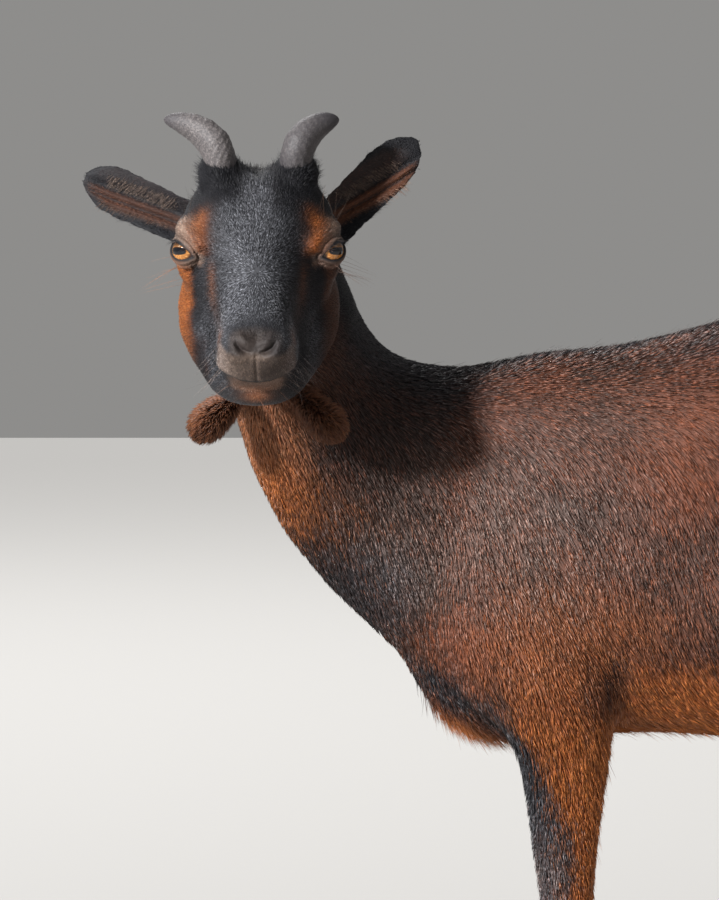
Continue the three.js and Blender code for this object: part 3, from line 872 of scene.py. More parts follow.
def markings(points, share):
    ragged = 4.0 * ripple(points, 90, 1) + 2.0 * ripple(points, 260, 2)
    broad = ripple(points, 28, 3)
    marks = trunkMarks(points, share, ragged, broad)
    legMarks(points, share, ragged, marks)
    faceMarks(points, share, ragged, marks)
    openingMarks(points, share["head"], marks)
    # ears black outside and along the rim, brown in the hollow; wattles brown
    # painted shade: the right ear's hollow is less brown and darker
    earBrown = (0.16 + 0.22 * (faceCoords(points)[1] > 0)) * share["hollow"] + 0.4 * share["flap"]
    earBrown = np.clip(earBrown, 0, 0.9) * (1 - 0.9 * np.clip(share["furrow"], 0, 1))
    laidOver(marks, share["ear"], black=1 - earBrown, orange=earBrown * (0.06 + 0.34 * share["flap"]), silver=0.04)
    laidOver(marks, share["wattle"], black=0.45, orange=0.40)
    shares = np.stack([marks[name] for name in ("black", "orange", "silver", "pale")], axis=1)
    return np.clip(shares, 0, 1), trunkRed(points, share["head"], broad)


# the named regions, and how many steps soften their borders
shareRegions = {
    "head": (["head"], 14),
    "headWide": (["head", "ear"], 90),
    "ear": (["ear"], 4),
    "neck": (["neck"], 30),
    "legs": (["upper", "lower"], 10),
    "tail": (["tail"], 8),
    "wattle": (["wattle"], 3),
    "lower": (["lower"], 10),
}


def shareFields(skin):
    # how much of each region a skin point belongs to
    points, edges = coordsOf(skin.data), edgesOf(skin.data)
    labels = nearestRegion(points, cadTree, cadRegion)
    share = {key: shareOf(labels, names, edges, rounds) for key, (names, rounds) in shareRegions.items()}
    share["far"] = ((points[:, 1] - midY) > 0).astype(float)
    for key in ("hollow", "flap", "furrow", "earTip"):
        share[key] = np.zeros(len(points))
    left = faceCoords(points)[1]
    for side in (1, -1):
        along, edge = earCoords(points, side)
        inner = ramp(normalsOf(skin.data) @ earAxes[side][2], -0.1, 0.35) * share["ear"] * (left * side > 0)
        inner = inner * fall(np.abs(edge) + 0.25 * ramp(along, 0.6, 1), 0.66, 0.94)
        share["hollow"] += inner * fall(along, 0.76, 0.92)
        share["flap"] += inner * ramp(edge, -0.1, -0.2) * fall(along, 0.86, 0.97)
        share["furrow"] += inner * (hump(edge, -0.02, 0.12) + 0.6 * hump(edge, -0.44, 0.05))
        share["earTip"] += share["ear"] * (left * side > 0) * ramp(along, 0.8, 1)
    return points, edges, share


# how the coat lies: the way the hair points on each part, before it is laid along the skin
layWays = {
    "neck": np.array([0.28, 0, -1]),
    "nape": np.array([1.0, 0, -0.45]),
    "leg": np.array([0.12, 0, -1.0]),
    "tail": np.array([0.25, 0, 1.0]),
    "cheek": -0.75 * headAhead - 0.8 * headUp,
    "muzzle": -0.5 * headUp - 0.35 * headAhead,
}


def layOf(points, normals, share, edges):
    ahead, left, up = faceCoords(points)
    back, _, high = bodyCoords(points)
    still = np.zeros(len(points))
    rise = np.interp((high - 190) / 290, [-0.05, 0.05, 0.2, 0.45, 0.62, 0.78, 0.95], [82, 70, 26, 12, 24, 52, 84])
    slope = np.radians(rise + ramp(back, 90, 260) * 22 * hump(high, 330, 130))
    trunk = np.stack([np.sin(slope), still, -np.cos(slope)], axis=1)
    nape = ramp(high, 380, 440) * ramp(back, -150, -90)
    neck = blend(still[:, None] + layWays["neck"], layWays["nape"], nape)
    lay = blend(unit(trunk), unit(neck), share["neck"])

    fromWhorl = np.stack([ahead - 44, 1.25 * left, up - 14], axis=1)
    radial = fromWhorl @ np.stack([headAhead, headLeft, headUp])
    sideways = ramp(np.abs(left), 30, 44) * ramp(up, 8, -6)
    muzzle = ramp(ahead, 60, 84) * ramp(np.abs(left), 10, 26)
    muzzleWay = layWays["muzzle"] + np.sign(left)[:, None] * 0.5 * headLeft
    face = blend(blend(unit(radial), unit(layWays["cheek"]), sideways), muzzleWay, muzzle)
    lay = blend(lay, unit(face), share["headWide"])

    for side in (1, -1):
        root, tip, _ = earAxes[side]
        lay = blend(lay, unit(tip - root), share["ear"] * (left * side > 0))
    lay = blend(lay, layWays["leg"], share["legs"] * fall(high, 215, 260))
    lay = blend(lay, layWays["tail"], share["tail"])
    hang = headLeft * np.sign(left)[:, None] * 0.6 - skyward * 0.8
    lay = blend(lay, hang, share["wattle"])
    for _ in range(6):
        lay = diffused(unit(alongSkin(lay, normals)), edges, 2)
    return alongSkin(lay, normals)


# the coat's make: length, width and lift in mm, and locks for each square cm
coatPlan = {
    "body": {"length": 11.0, "width": 0.52, "lift": 3.0, "dense": 44},
    "neck": {"length": 10.0, "width": 0.50, "lift": 3.0, "dense": 50},
    "head": {"length": 3.8, "width": 0.27, "lift": 1.1, "dense": 215},
    "muzzle": {"length": 1.8, "width": 0.22, "lift": 0.5, "dense": 270},
    "ear": {"length": 3.4, "width": 0.30, "lift": 0.5, "dense": 130},
    "upper": {"length": 10.5, "width": 0.68, "lift": 3.0, "dense": 48},
    "lower": {"length": 7.0, "width": 0.62, "lift": 2.0, "dense": 62},
    "tail": {"length": 18.0, "width": 0.8, "lift": 6.0, "dense": 55},
    "wattle": {"length": 8.0, "width": 0.34, "lift": 5.6, "dense": 260},
}
coatNumbers = {
    "rootIn": 0.8,               # mm that a root stands inside the skin
    "stray": 0.11,               # how much each lock wanders from the lay
    "clump": 0.20,               # how much neighbours lean together
    "clumpScale": 75,
    "lengths": (0.7, 1.25),      # how locks differ, as shares of the plan
    "widths": (0.75, 1.3),
    "lifts": (0.35, 1.15),
    "most": 48000,               # locks in one piece
    "total": 322000,             # locks in the whole coat
    "patch": 0.003,              # a lock's own patch on the colour map
    "mapFaces": 9000,            # faces of the light copy that the map is made on
}


def coatFields(points, share):
    # every number of the plan, blended over the skin
    ahead, left, up = at = faceCoords(points)
    high = bodyCoords(points)[2]
    fields = {}
    for key in ("length", "width", "lift", "dense"):
        plan = {name: coatPlan[name][key] for name in coatPlan}
        value = blend(plan["body"], plan["neck"], share["neck"])
        face = blend(plan["head"], plan["muzzle"], ramp(ahead, 58, 88))
        value = blend(value, face, share["headWide"])
        value = blend(value, blend(plan["upper"], plan["lower"], share["lower"]), share["legs"])
        for name in ("ear", "tail", "wattle"):
            value = blend(value, plan[name], share[name])
        fields[key] = value
    # longer along the belly and round the horns, shorter on the ears' tips; bare nose, lids and lips
    fringe = (1 - share["head"]) * span(high, 150, 190, 205, 232)
    horny = share["head"] * ramp(ahead, -20, -34) * ramp(up, 20, 34)
    fields["length"] *= (1 + 0.45 * fringe) * (1 + 0.5 * horny) * (1 - 0.45 * share["earTip"])
    fields["lift"] *= 1 + 0.7 * horny
    bare = ramp(ahead, 90, 96) * band(up, -19, -7, 2) * fall(np.abs(left), 12, 16)
    for side in (1, -1):
        edge = aroundEye(points, side, 1.5)[2]
        bare = most(bare, fall(edge, 1.2, 3.2))
        shorter = 1 - 0.6 * fall(edge, 3, 12)
        fields["length"] *= shorter
        fields["lift"] *= shorter
    mouth, _ = lineDistance(*at, mouthPlan["line"])
    bare = most(bare, fall(mouth, 1.9, 3.0) * share["head"])
    fields["length"] *= 1 - 0.5 * share["head"] * fall(mouth, 2.5, 6)
    fields["dense"] *= (1 - bare) * (1 - 0.35 * share["hollow"])
    return fields


points, edges, share = shareFields(skin)
normals = normalsOf(skin.data)
marks, red = markings(points, share)
keepColours(skin.data, "marks", marks)
keepColours(skin.data, "strand", np.stack([0.2 + 0 * red, 0.4 + 0 * red, red, 0.5 + 0 * red], axis=1))
lay = layOf(points, normals, share, edges)
fields = coatFields(points, share)
print("markings and lay set")


def unwrapped(skin):
    # a light copy of the skin with a map of its own, to tell where on the map a root lies
    copy = linked(skin.data.copy(), "skinMap")
    decimate = copy.modifiers.new("lighter", "DECIMATE")
    decimate.ratio = coatNumbers["mapFaces"] / len(copy.data.polygons)
    applied(copy)
    bpy.context.view_layer.objects.active = copy
    copy.select_set(True)
    bpy.ops.object.mode_set(mode="EDIT")
    bpy.ops.mesh.select_all(action="SELECT")
    bpy.ops.uv.smart_project(angle_limit=math.radians(60), island_margin=0.004)
    bpy.ops.object.mode_set(mode="OBJECT")
    mesh = copy.data
    places, corners = coordsOf(mesh), trianglesOf(mesh)
    uv = readBack(mesh.uv_layers.active.data, "uv", 2)[readBack(mesh.loop_triangles, "loops", 3, np.int64)]
    tree = BVHTree.FromPolygons(places.tolist(), corners.tolist())
    bpy.data.objects.remove(copy)
    return tree, places[corners], uv


def mapPlaces(roots, unwrap):
    # where roots lie on the map, by their shares of the triangle's corners
    tree, corners, uv = unwrap
    found = [tree.find_nearest(p) for p in roots.tolist()]
    face = np.array([f[2] for f in found])
    spot = np.array([f[0] for f in found])
    a, b, c = corners[face, 0], corners[face, 1], corners[face, 2]
    ab, ac, ap = b - a, c - a, spot - a
    d00, d01, d11 = np.sum(ab * ab, 1), np.sum(ab * ac, 1), np.sum(ac * ac, 1)
    d20, d21 = np.sum(ap * ab, 1), np.sum(ap * ac, 1)
    below = np.maximum(d00 * d11 - d01 * d01, 1e-18)
    v = np.clip((d11 * d20 - d01 * d21) / below, 0, 1)
    w = np.clip((d00 * d21 - d01 * d20) / below, 0, 1)
    u = 1 - v - w
    return uv[face, 0] * u[:, None] + uv[face, 1] * v[:, None] + uv[face, 2] * w[:, None]


def areasOf(triangles):
    corners = points[triangles]
    return np.linalg.norm(np.cross(corners[:, 1] - corners[:, 0], corners[:, 2] - corners[:, 0]), axis=1) / 2


def scattered(mesh, dense):
    # roots spread evenly over the skin: which triangle, and where in it; dense is for each square cm
    triangles = trianglesOf(mesh)
    total = np.cumsum(areasOf(triangles) / cm**2 * dense[triangles].mean(axis=1))
    count = coatNumbers["total"]
    print("locks wanted", int(total[-1]), "grown", count)
    pick = np.searchsorted(total, (np.arange(count) + rng.random(count)) * total[-1] / count)
    pick = np.minimum(pick, len(triangles) - 1)
    r1, r2 = np.sqrt(rng.random(count)), rng.random(count)
    weights = np.stack([1 - r1, r1 * (1 - r2), r1 * r2], axis=1)
    return triangles[pick], weights


def blended(values, corners, weights):
    if values.ndim == 1:
        return np.sum(values[corners] * weights, axis=1)
    return np.einsum("nkd,nk->nd", values[corners], weights)


def strayed(vertices, edges, steps):
    # the point reached from each of these by a few random steps along the skin's edges, for ragged borders
    both = np.concatenate([edges, edges[:, ::-1]])
    both = both[np.argsort(both[:, 0], kind="stable")]
    first = np.searchsorted(both[:, 0], np.arange(len(points)))
    degree = np.maximum(np.bincount(both[:, 0], minlength=len(points)), 1)
    for _ in range(steps):
        chosen = first[vertices] + (rng.random(len(vertices)) * degree[vertices]).astype(int)
        vertices = both[np.minimum(chosen, len(both) - 1), 1]
    return vertices


# a lock is a closed sliver: a root under the skin, a tip over it, and two low corners between
sliverFaces = np.array([(0, 1, 3), (0, 3, 2), (0, 2, 1), (1, 2, 3)])
sliverMap = np.array([(0.5, 0.0), (0.1, 0.45), (0.9, 0.45), (0.5, 1.0)])


def solidPiece(name, verts, faces, uv, shares, strand):
    # one mesh from arrays, with its map and its two kept attributes
    mesh = bpy.data.meshes.new(name)
    mesh.vertices.add(len(verts))
    mesh.vertices.foreach_set("co", verts.astype(np.float32).ravel())
    mesh.loops.add(faces.size)
    mesh.loops.foreach_set("vertex_index", faces.ravel().astype(np.int32))
    mesh.polygons.add(len(faces))
    mesh.polygons.foreach_set("loop_start", np.arange(0, faces.size, 3, dtype=np.int32))
    mesh.update()
    layer = mesh.uv_layers.new(name="OFBake")
    layer.data.foreach_set("uv", uv[faces.ravel()].astype(np.float32).ravel())
    keepColours(mesh, "marks", shares)
    keepColours(mesh, "strand", strand)
    piece = linked(mesh, name)
    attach(piece, "root")
    return piece


def lockPiece(name, locks, chosen):
    root, low1, low2, tip = (locks[k][chosen] for k in ("root", "low1", "low2", "tip"))
    count = len(root)
    patch = (sliverMap - 0.5) * coatNumbers["patch"]
    along = np.tile([0.0, 0.5, 0.5, 1.0], count)
    piece = solidPiece(
        name,
        np.stack([root, low1, low2, tip], axis=1).reshape(-1, 3),
        (np.arange(count)[:, None, None] * 4 + sliverFaces[None]).reshape(-1, 3),
        (locks["uv"][chosen][:, None, :] + patch[None]).reshape(-1, 2),
        np.repeat(locks["marks"][chosen], 4, axis=0),
        np.stack([along] + [np.repeat(locks[k][chosen], 4) for k in ("shade", "red", "hue")], axis=1),
    )
    return piece


# what belongs to each piece of the coat, a later one taking from those before it; the rest is the trunk's
coatParts = {
    "coatHead": share["head"],
    "coatNeck": share["neck"] * (1 - share["head"]),
    "coatLegs": share["legs"],
    "coatEars": share["ear"],
    "coatTail": share["tail"],
    "coatWattles": share["wattle"],
}
darkParts = ("coatHead", "coatEars", "coatWattles")


def growCoat(skin, unwrap):
    tree = BVHTree.FromPolygons(points.tolist(), trianglesOf(skin.data).tolist())
    corners, weights = scattered(skin.data, fields["dense"])

    def here(values):
        return blended(values, corners, weights)

    root = here(points)
    normal = unit(here(normals))
    way = here(lay)
    steady = np.clip(np.linalg.norm(way, axis=1) * 1.6, 0.25, 1)   # hair is shorter where it turns over an edge
    way = unit(way)
    count = len(root)
    clump = np.array([noise.noise_vector(Vector(p) * coatNumbers["clumpScale"]) for p in root.tolist()])
    stray = coatNumbers["stray"] * (1 + 1.4 * here(share["wattle"]))
    way = way + coatNumbers["clump"] * clump + stray[:, None] * rng.normal(size=(count, 3))
    way = unit(alongSkin(way, normal))
    length = here(fields["length"]) * mm * rng.uniform(*coatNumbers["lengths"], count) * steady
    width = here(fields["width"]) * mm * rng.uniform(*coatNumbers["widths"], count)
    lift = here(fields["lift"]) * mm * rng.uniform(*coatNumbers["lifts"], count) ** 1.2
    side = np.cross(normal, way)
    # the tip follows the skin round its bends
    reach = root + way * length[:, None]
    near = [tree.find_nearest(p) for p in reach.tolist()]
    tip = np.array([f[0] for f in near])
    tipNormal = np.array([f[1] for f in near])
    far = np.linalg.norm(tip - root, axis=1) > length * 0.55
    tip = np.where(far[:, None], tip + tipNormal * lift[:, None], reach + normal * lift[:, None])
    middle = root * 0.55 + tip * 0.45 + normal * (lift * 0.12)[:, None]
    drop = normal * (width * 0.22)[:, None]
    locks = {
        "root": root - normal * coatNumbers["rootIn"] * mm,
        "low1": middle - side * (width / 2)[:, None] - drop,
        "low2": middle + side * (width / 2)[:, None] - drop,
        "tip": tip,
        "marks": (here(marks) + marks[strayed(corners[:, 0], edges, 2)]) / 2,
        "red": here(red),
        "shade": rng.random(count),
        "hue": rng.random(count),
        "uv": mapPlaces(root, unwrap),
    }
    name = np.full(count, "coatTrunk", dtype="U12")
    for part, belongs in coatParts.items():
        name[here(belongs) > 0.5] = part
    pieces = []
    for part in sorted(set(name.tolist())):
        members = np.nonzero(name == part)[0]
        members = members[np.argsort(root[members, 0], kind="stable")]
        slices = np.array_split(members, math.ceil(len(members) / coatNumbers["most"]))
        for i, chosen in enumerate(slices):
            slot = "dark_coat" if part in darkParts else "coat"
            pieces.append(lockPiece(part + (str(i + 1) if len(slices) > 1 else ""), locks, chosen))
        print(part, len(members), "locks in", len(slices), "pieces")
    return pieces


# long single hairs: whiskers, lashes and the combed rows in the ears, thin closed strands that bend and taper
longPlan = {
    # length, thickness and bend in mm, how far they stand out, and how many
    "whisker": {"length": 24, "thick": 0.20, "bend": 7, "stand": 0.75, "count": 46, "grey": 0.3},
    "cheek": {"length": 26, "thick": 0.17, "bend": 8, "stand": 1.2, "count": 26, "grey": 0.25},
    "brow": {"length": 27, "thick": 0.17, "bend": 6, "stand": 1.4, "count": 12, "grey": 0.3},
    "lash": {"length": 5.5, "thick": 0.16, "bend": 2.4, "stand": 1.4, "count": 110, "grey": 0.0},
    "earRow": {"length": 7.0, "thick": 0.24, "bend": 1.8, "stand": 0.34, "count": 1300, "grey": 0.42},
    "earEdge": {"length": 5.0, "thick": 0.24, "bend": 1.0, "stand": 0.7, "count": 900, "grey": 0.0},
    "crown": {"length": 8.0, "thick": 0.32, "bend": 2.4, "stand": 0.8, "count": 2600, "grey": 0.0},
    "brisket": {"length": 19, "thick": 0.42, "bend": 4, "stand": 0.40, "count": 1500, "grey": 0.0},
    "belly": {"length": 17, "thick": 0.42, "bend": 3, "stand": 0.32, "count": 2200, "grey": 0.0},
    "feather": {"length": 14, "thick": 0.36, "bend": 3, "stand": 0.42, "count": 1500, "grey": 0.0},
    "withers": {"length": 15, "thick": 0.40, "bend": 2, "stand": 0.38, "count": 1700, "grey": 0.2},
    "coronet": {"length": 10, "thick": 0.38, "bend": 1.5, "stand": 0.42, "count": 2000, "grey": 0.0},
}
strandRings = np.array([0.0, 0.4, 0.75])
headZones = {
    "whisker": {"ahead": (ramp, 74, 84), "up": (band, -66, -22, 5)},
    "cheek": {"wide": (hump, 52, 6), "ahead": (band, -6, 22, 5), "up": (hump, -12, 7)},
    "brow": {"wide": (hump, 52, 5), "ahead": (hump, -14, 7), "up": (hump, 20, 6)},
    "crown": {"ahead": (ramp, -20, -30), "up": (ramp, 18, 30), "wide": (fall, 44, 50)},
}
bodyZones = {
    "belly": {"back": (band, 30, 330, 20), "high": (span, 150, 175, 202, 216)},
    "withers": {"high": (ramp, 430, 452), "aside": (fall, 12, 30), "back": (band, -90, 380, 20)},
    "coronet": {"high": (hump, 31, 5)},
}


def longZones():
    # where each kind grows, and which way it points
    at = placesOf(points)
    left, up, wide, back, high = (at[key] for key in ("left", "up", "wide", "back", "high"))
    out, legs = headLeft * np.sign(left)[:, None], share["legs"]
    ways = {name: lay for name in longPlan}
    ways["whisker"] = out * 0.8 - headUp * 0.5 + headAhead * 0.3
    ways["cheek"] = out - headUp * 0.15
    ways["brow"] = out * 0.2 + headUp
    ways["lash"] = out * 0.8 - headUp * 0.2
    ways["earRow"] = np.zeros_like(points)
    lash, earRow, earEdge = np.zeros((3, len(points)))
    for side in (1, -1):
        x, y, edge = aroundEye(points, side, 1.35)
        lash += hump(edge, 1.0, 0.6) * ramp(y, 1, 3) * ramp(x, 9, 2)
        root, tip, facing = earAxes[side]
        along, edge = earCoords(points, side)
        mine = left * side > 0
        strips = hump(edge, 0.42, 0.10) + hump(edge, 0.14, 0.08) + 0.5 * hump(edge, -0.62, 0.08)
        earRow += share["ear"] * mine * (share["hollow"] > 0.3) * strips * band(along, 0.2, 0.74, 0.05)
        earEdge += share["ear"] * mine * hump(np.abs(edge), 0.97, 0.10) * fall(along, 0.5, 0.9)
        away = unit(tip - root)
        sideways = np.cross(away, facing)
        ways["earRow"] += mine[:, None] * (away * 0.5 - unit(sideways) * np.sign(sideways[2]))
    behind = back - np.where(back < pose["betweenLegs"], foreAxis(high), hindAxis(high))
    feather = ramp(behind, 9, 17) * band(high, 120, 232, 18)
    feather += 1.6 * ramp(behind, 6, 12) * hump(high, 56, 8)
    zones = {"lash": lash, "earRow": earRow, "earEdge": earEdge, "feather": legs * feather}
    zones |= {name: share["head"] * patch(at, plan) for name, plan in headZones.items()}
    zones["whisker"] *= ramp(wide, 12, 18) + hump(up, -58, 7)
    zones["brisket"] = (1 - legs) * band(back, -96, -22, 8) * ramp(high + 0.5 * (back + 76), 226, 208)
    for name, room in (("belly", 1 - legs * 0.6), ("withers", 1 - share["tail"]), ("coronet", legs)):
        zones[name] = room * patch(at, bodyZones[name])
    return zones, ways


def longHairs(name, zone, ways, unwrap):
    plan = longPlan[name]
    triangles = trianglesOf(skin.data)
    total = np.cumsum(areasOf(triangles) * zone[triangles].mean(axis=1))
    count = plan["count"]
    pick = np.minimum(np.searchsorted(total, rng.random(count) * total[-1]), len(triangles) - 1)
    corners = triangles[pick]
    weights = rng.dirichlet((1, 1, 1), count)
    normal = unit(blended(normals, corners, weights))
    root = blended(points, corners, weights) - normal * coatNumbers["rootIn"] * mm
    way = blended(ways, corners, weights)
    way = unit(unit(alongSkin(way, normal)) + normal * plan["stand"] + rng.normal(size=(count, 3)) * 0.12)
    length = plan["length"] * mm * rng.uniform(0.55, 1.15, count)
    fall = unit(ways[corners[:, 0]] * 0.6 - skyward * 0.5 + rng.normal(size=(count, 3)) * 0.3)
    bend = fall * plan["bend"] * mm * rng.uniform(0.4, 1.3, count)[:, None]
    side = unit(np.cross(way, normal))
    over = np.cross(side, way)
    thick = plan["thick"] * mm / 2 * rng.uniform(0.8, 1.2, count)
    rings = []
    for t in strandRings:
        middle = root + way * (length * t)[:, None] + bend * t**2
        for turn in (0, 2 * np.pi / 3, 4 * np.pi / 3):
            spoke = side * math.cos(turn) + over * math.sin(turn)
            rings.append(middle + spoke * (thick * (1 - t) ** 0.6)[:, None])
    rings.append(root + way * length[:, None] + bend)
    verts = np.stack(rings, axis=1)
    faces = [(0, 2, 1)]
    for ring in (0, 3):
        for k in range(3):
            a, b = ring + k, ring + (k + 1) % 3
            faces += [(a, b, b + 3), (a, b + 3, a + 3)]
    faces += [(6 + k, 6 + (k + 1) % 3, 9) for k in range(3)]
    shares = blended(marks, corners, weights)
    shares[:, 3] = np.maximum(shares[:, 3], plan["grey"])
    return {
        "verts": verts,
        "faces": np.array(faces),
        "along": np.array([t for t in strandRings for _ in range(3)] + [1.0]),
        "uv": mapPlaces(root, unwrap),
        "marks": shares,
        "red": blended(red, corners, weights),
    }


longPieces = {
    "whiskers": ("whisker", "cheek", "brow", "lash"),
    "hairEars": ("earRow", "earEdge"),
    "hairCrown": ("crown",),
    "hairFringe": ("brisket", "belly", "feather", "withers", "coronet"),
}


def growLong(unwrap):
    zones, ways = longZones()
    for piece, kinds in longPieces.items():
        sets = [longHairs(kind, zones[kind], ways[kind], unwrap) for kind in kinds]
        verts = np.concatenate([one["verts"] for one in sets])
        count, each = verts.shape[:2]
        uv = np.concatenate([one["uv"] for one in sets])
        kept = np.concatenate([one["marks"] for one in sets])
        tint = np.concatenate([one["red"] for one in sets])
        along, faces = sets[0]["along"], sets[0]["faces"]
        # every hair's patch on the map is a little square, its length up the square
        turn = np.arange(each) % 3 / 2 - 0.5
        patch = np.stack([turn * 0.7, along - 0.5], axis=1) * coatNumbers["patch"]
        strand = [
            np.tile(0.3 + 0.6 * along, count),
            np.repeat(rng.random(count), each),
            np.repeat(tint, each),
            np.repeat(rng.random(count), each),
        ]
        grown = solidPiece(
            piece,
            verts.reshape(-1, 3),
            (np.arange(count)[:, None, None] * each + faces[None]).reshape(-1, 3),
            (uv[:, None, :] + patch[None]).reshape(-1, 2),
            np.repeat(kept, each, axis=0),
            np.stack(strand, axis=1),
        )
        coatPieces.append(grown)
        print(piece, count, "hairs")


unwrap = unwrapped(skin)
print("skin mapped")
coatPieces = growCoat(skin, unwrap)
growLong(unwrap)


# materials
class Wire:
    # a socket that adds, takes away, multiplies and so on by adding Math nodes
    def __init__(self, sheet, socket):
        self.sheet = sheet
        self.socket = socket

    def __add__(self, other):
        return self.sheet.math("ADD", self, other)

    def __sub__(self, other):
        return self.sheet.math("SUBTRACT", self, other)

    def __rsub__(self, other):
        return self.sheet.math("SUBTRACT", other, self)

    def __mul__(self, other):
        return self.sheet.math("MULTIPLY", self, other)

    def __pow__(self, other):
        return self.sheet.math("POWER", self, other)

    def above(self, edge, soft):
        # 0 below the edge, 1 above it, changing over the soft width on each side
        return self.sheet.add(
            "ShaderNodeMapRange",
            {"interpolation_type": "SMOOTHSTEP"},
            {"Value": self, "From Min": edge - soft, "From Max": edge + soft},
        )

    __radd__ = __add__
    __rmul__ = __mul__


class Sheet:
    # a material and its nodes
    def __init__(self, name, **fixed):
        self.material = bpy.data.materials.new(name)
        self.material.use_nodes = True
        self.tree = self.material.node_tree
        self.shader = self.tree.nodes["Principled BSDF"]
        for socket, value in fixed.items():
            self.shader.inputs[socket.replace("_", " ")].default_value = value

    def add(self, kind, settings=None, sockets=None, output=0):
        node = self.tree.nodes.new(kind)
        for key, value in (settings or {}).items():
            if key == "stops":
                while len(node.color_ramp.elements) < len(value):
                    node.color_ramp.elements.new(0.5)
                for element, (place, colour) in zip(node.color_ramp.elements, value):
                    element.position, element.color = place, (*colour, 1)
            else:
                setattr(node, key, value)
        for key, value in (sockets or {}).items():
            self.put(node.inputs[key], value)
        return Wire(self, node.outputs[output])

    def put(self, socket, value):
        if isinstance(value, Wire):
            self.tree.links.new(value.socket, socket)
        elif isinstance(value, tuple) and len(value) == 3 and socket.type == "RGBA":
            socket.default_value = (*value, 1)
        else:
            socket.default_value = value

    def math(self, operation, first, second):
        return self.add("ShaderNodeMath", {"operation": operation}, {0: first, 1: second})

    def mix(self, amount, first, second, blend="MIX"):
        settings = {"data_type": "RGBA", "blend_type": blend, "clamp_factor": True}
        return self.add("ShaderNodeMix", settings, {0: amount, 6: first, 7: second}, output=2)

    def place(self):
        return self.add("ShaderNodeTexCoord", output=3)

    def grain(self, scale, detail=2.0, stretch=None, where=None):
        where = where or self.place()
        if stretch:
            where = self.add("ShaderNodeMapping", None, {"Vector": where, "Scale": stretch})
        return self.add("ShaderNodeTexNoise", None, {"Vector": where, "Scale": scale, "Detail": detail})

    def four(self, attribute):
        # the four numbers of a kept attribute
        settings = {"attribute_type": "GEOMETRY", "attribute_name": attribute}
        colour = self.add("ShaderNodeAttribute", settings)
        parts = [self.add("ShaderNodeSeparateColor", None, {0: colour}, output=i) for i in range(3)]
        fourth = self.add("ShaderNodeAttribute", settings, output=3)
        return (*parts, fourth)

    def bump(self, height, strength, distance):
        return self.add("ShaderNodeBump", None, {"Height": height, "Strength": strength, "Distance": distance})

    def grey(self, value):
        return self.add("ShaderNodeCombineColor", None, {0: value, 1: value, 2: value})

    def finish(self, **sockets):
        for socket, value in sockets.items():
            self.put(self.shader.inputs[socket.replace("_", " ")], value)
        return self.material


coatColours = {
    "umber": (0.036, 0.016, 0.010),
    "russet": (0.21, 0.058, 0.022),
    "orange": (0.27, 0.060, 0.009),
    "orangeLight": (0.78, 0.29, 0.075),
    "black": (0.0080, 0.0080, 0.0115),
    "frostSheen": (0.46, 0.47, 0.52),
    "frostSheenWarm": (0.66, 0.50, 0.44),
    "pale": (0.52, 0.37, 0.28),
}


def coatColour(sheet, speckled=True):
    black, orange, silver, pale = sheet.four("marks")
    along, shade, red, hue = sheet.four("strand")
    blotch = sheet.grain(52, 4)
    chestnut = (red + (blotch - 0.5) * 0.45 + (hue - 0.5) * 0.7).above(0.5, 0.45)
    base = sheet.mix(chestnut, coatColours["umber"], coatColours["russet"])
    speckle = sheet.grain(620, 1).above(0.53, 0.10) if speckled else sheet.grain(240, 2)
    light = (shade * 0.5 + blotch * 0.3 + speckle * 0.25) * along
    tan = sheet.mix(light, coatColours["orange"], coatColours["orangeLight"])
    colour = sheet.mix(orange, base, tan)
    colour = sheet.mix(black, colour, coatColours["black"])
    colour = sheet.mix(pale * (0.15 + speckle * 0.55 + shade * 0.3), colour, coatColours["pale"])
    # painted sheen: silvery hair is lightened towards frost, brightest on single strands as painted glints
    frostSheen = sheet.mix(black, coatColours["frostSheenWarm"], coatColours["frostSheen"])
    glint = silver * (0.02 + (shade**3.0) * 0.6 + speckle * 0.5)
    colour = sheet.mix(glint * (0.3 + along * 0.7), colour, frostSheen)
    # painted shade: darker towards the roots inside the coat and on the skin beneath it, with a random tone for each
    # lock
    depth = (0.42 + along * 0.7) * (0.7 + hue * 0.6)
    return sheet.mix(1.0, colour, sheet.grey(depth), "MULTIPLY")


def paintCoat():
    sheet = Sheet("coatHair", Specular_IOR_Level=0.36)
    silver = sheet.four("marks")[2]
    return sheet.finish(Base_Color=coatColour(sheet), Roughness=0.52 - silver * 0.2)


def paintSkin():
    sheet = Sheet("skinHide", Specular_IOR_Level=0.3)
    height = sheet.grain(900, 2) + sheet.grain(2600, 1) * 0.5
    pale = sheet.four("marks")[3]
    colour = coatColour(sheet, speckled=False)
    return sheet.finish(Base_Color=colour, Roughness=0.66 - pale * 0.2, Normal=sheet.bump(height, 0.5, 0.0006))


hair = paintCoat()
for piece in coatPieces:
    piece.data.materials.append(hair)
skin.data.materials.append(paintSkin())
print("coat painted")


# eyes: a ball with a clear swelling over the iris, in place of the plain ones
eyePlan = {
    "irisHalf": 10.2,   # the iris is a level oval: half its length on the ball, mm
    "irisHigh": 7.4,
    "pupilHalf": 6.3,   # the level slot's half length
    "pupilHigh": 2.5,
    "pupilIn": 0.8,     # how far the slot lies towards the nose
    "pupilLow": 0.1,
    "swell": 0.8,       # how far the cornea stands out
    "swellTo": 42,      # degrees from the gaze where it ends
    "scale": 50,        # mm that the kept places are divided by
}


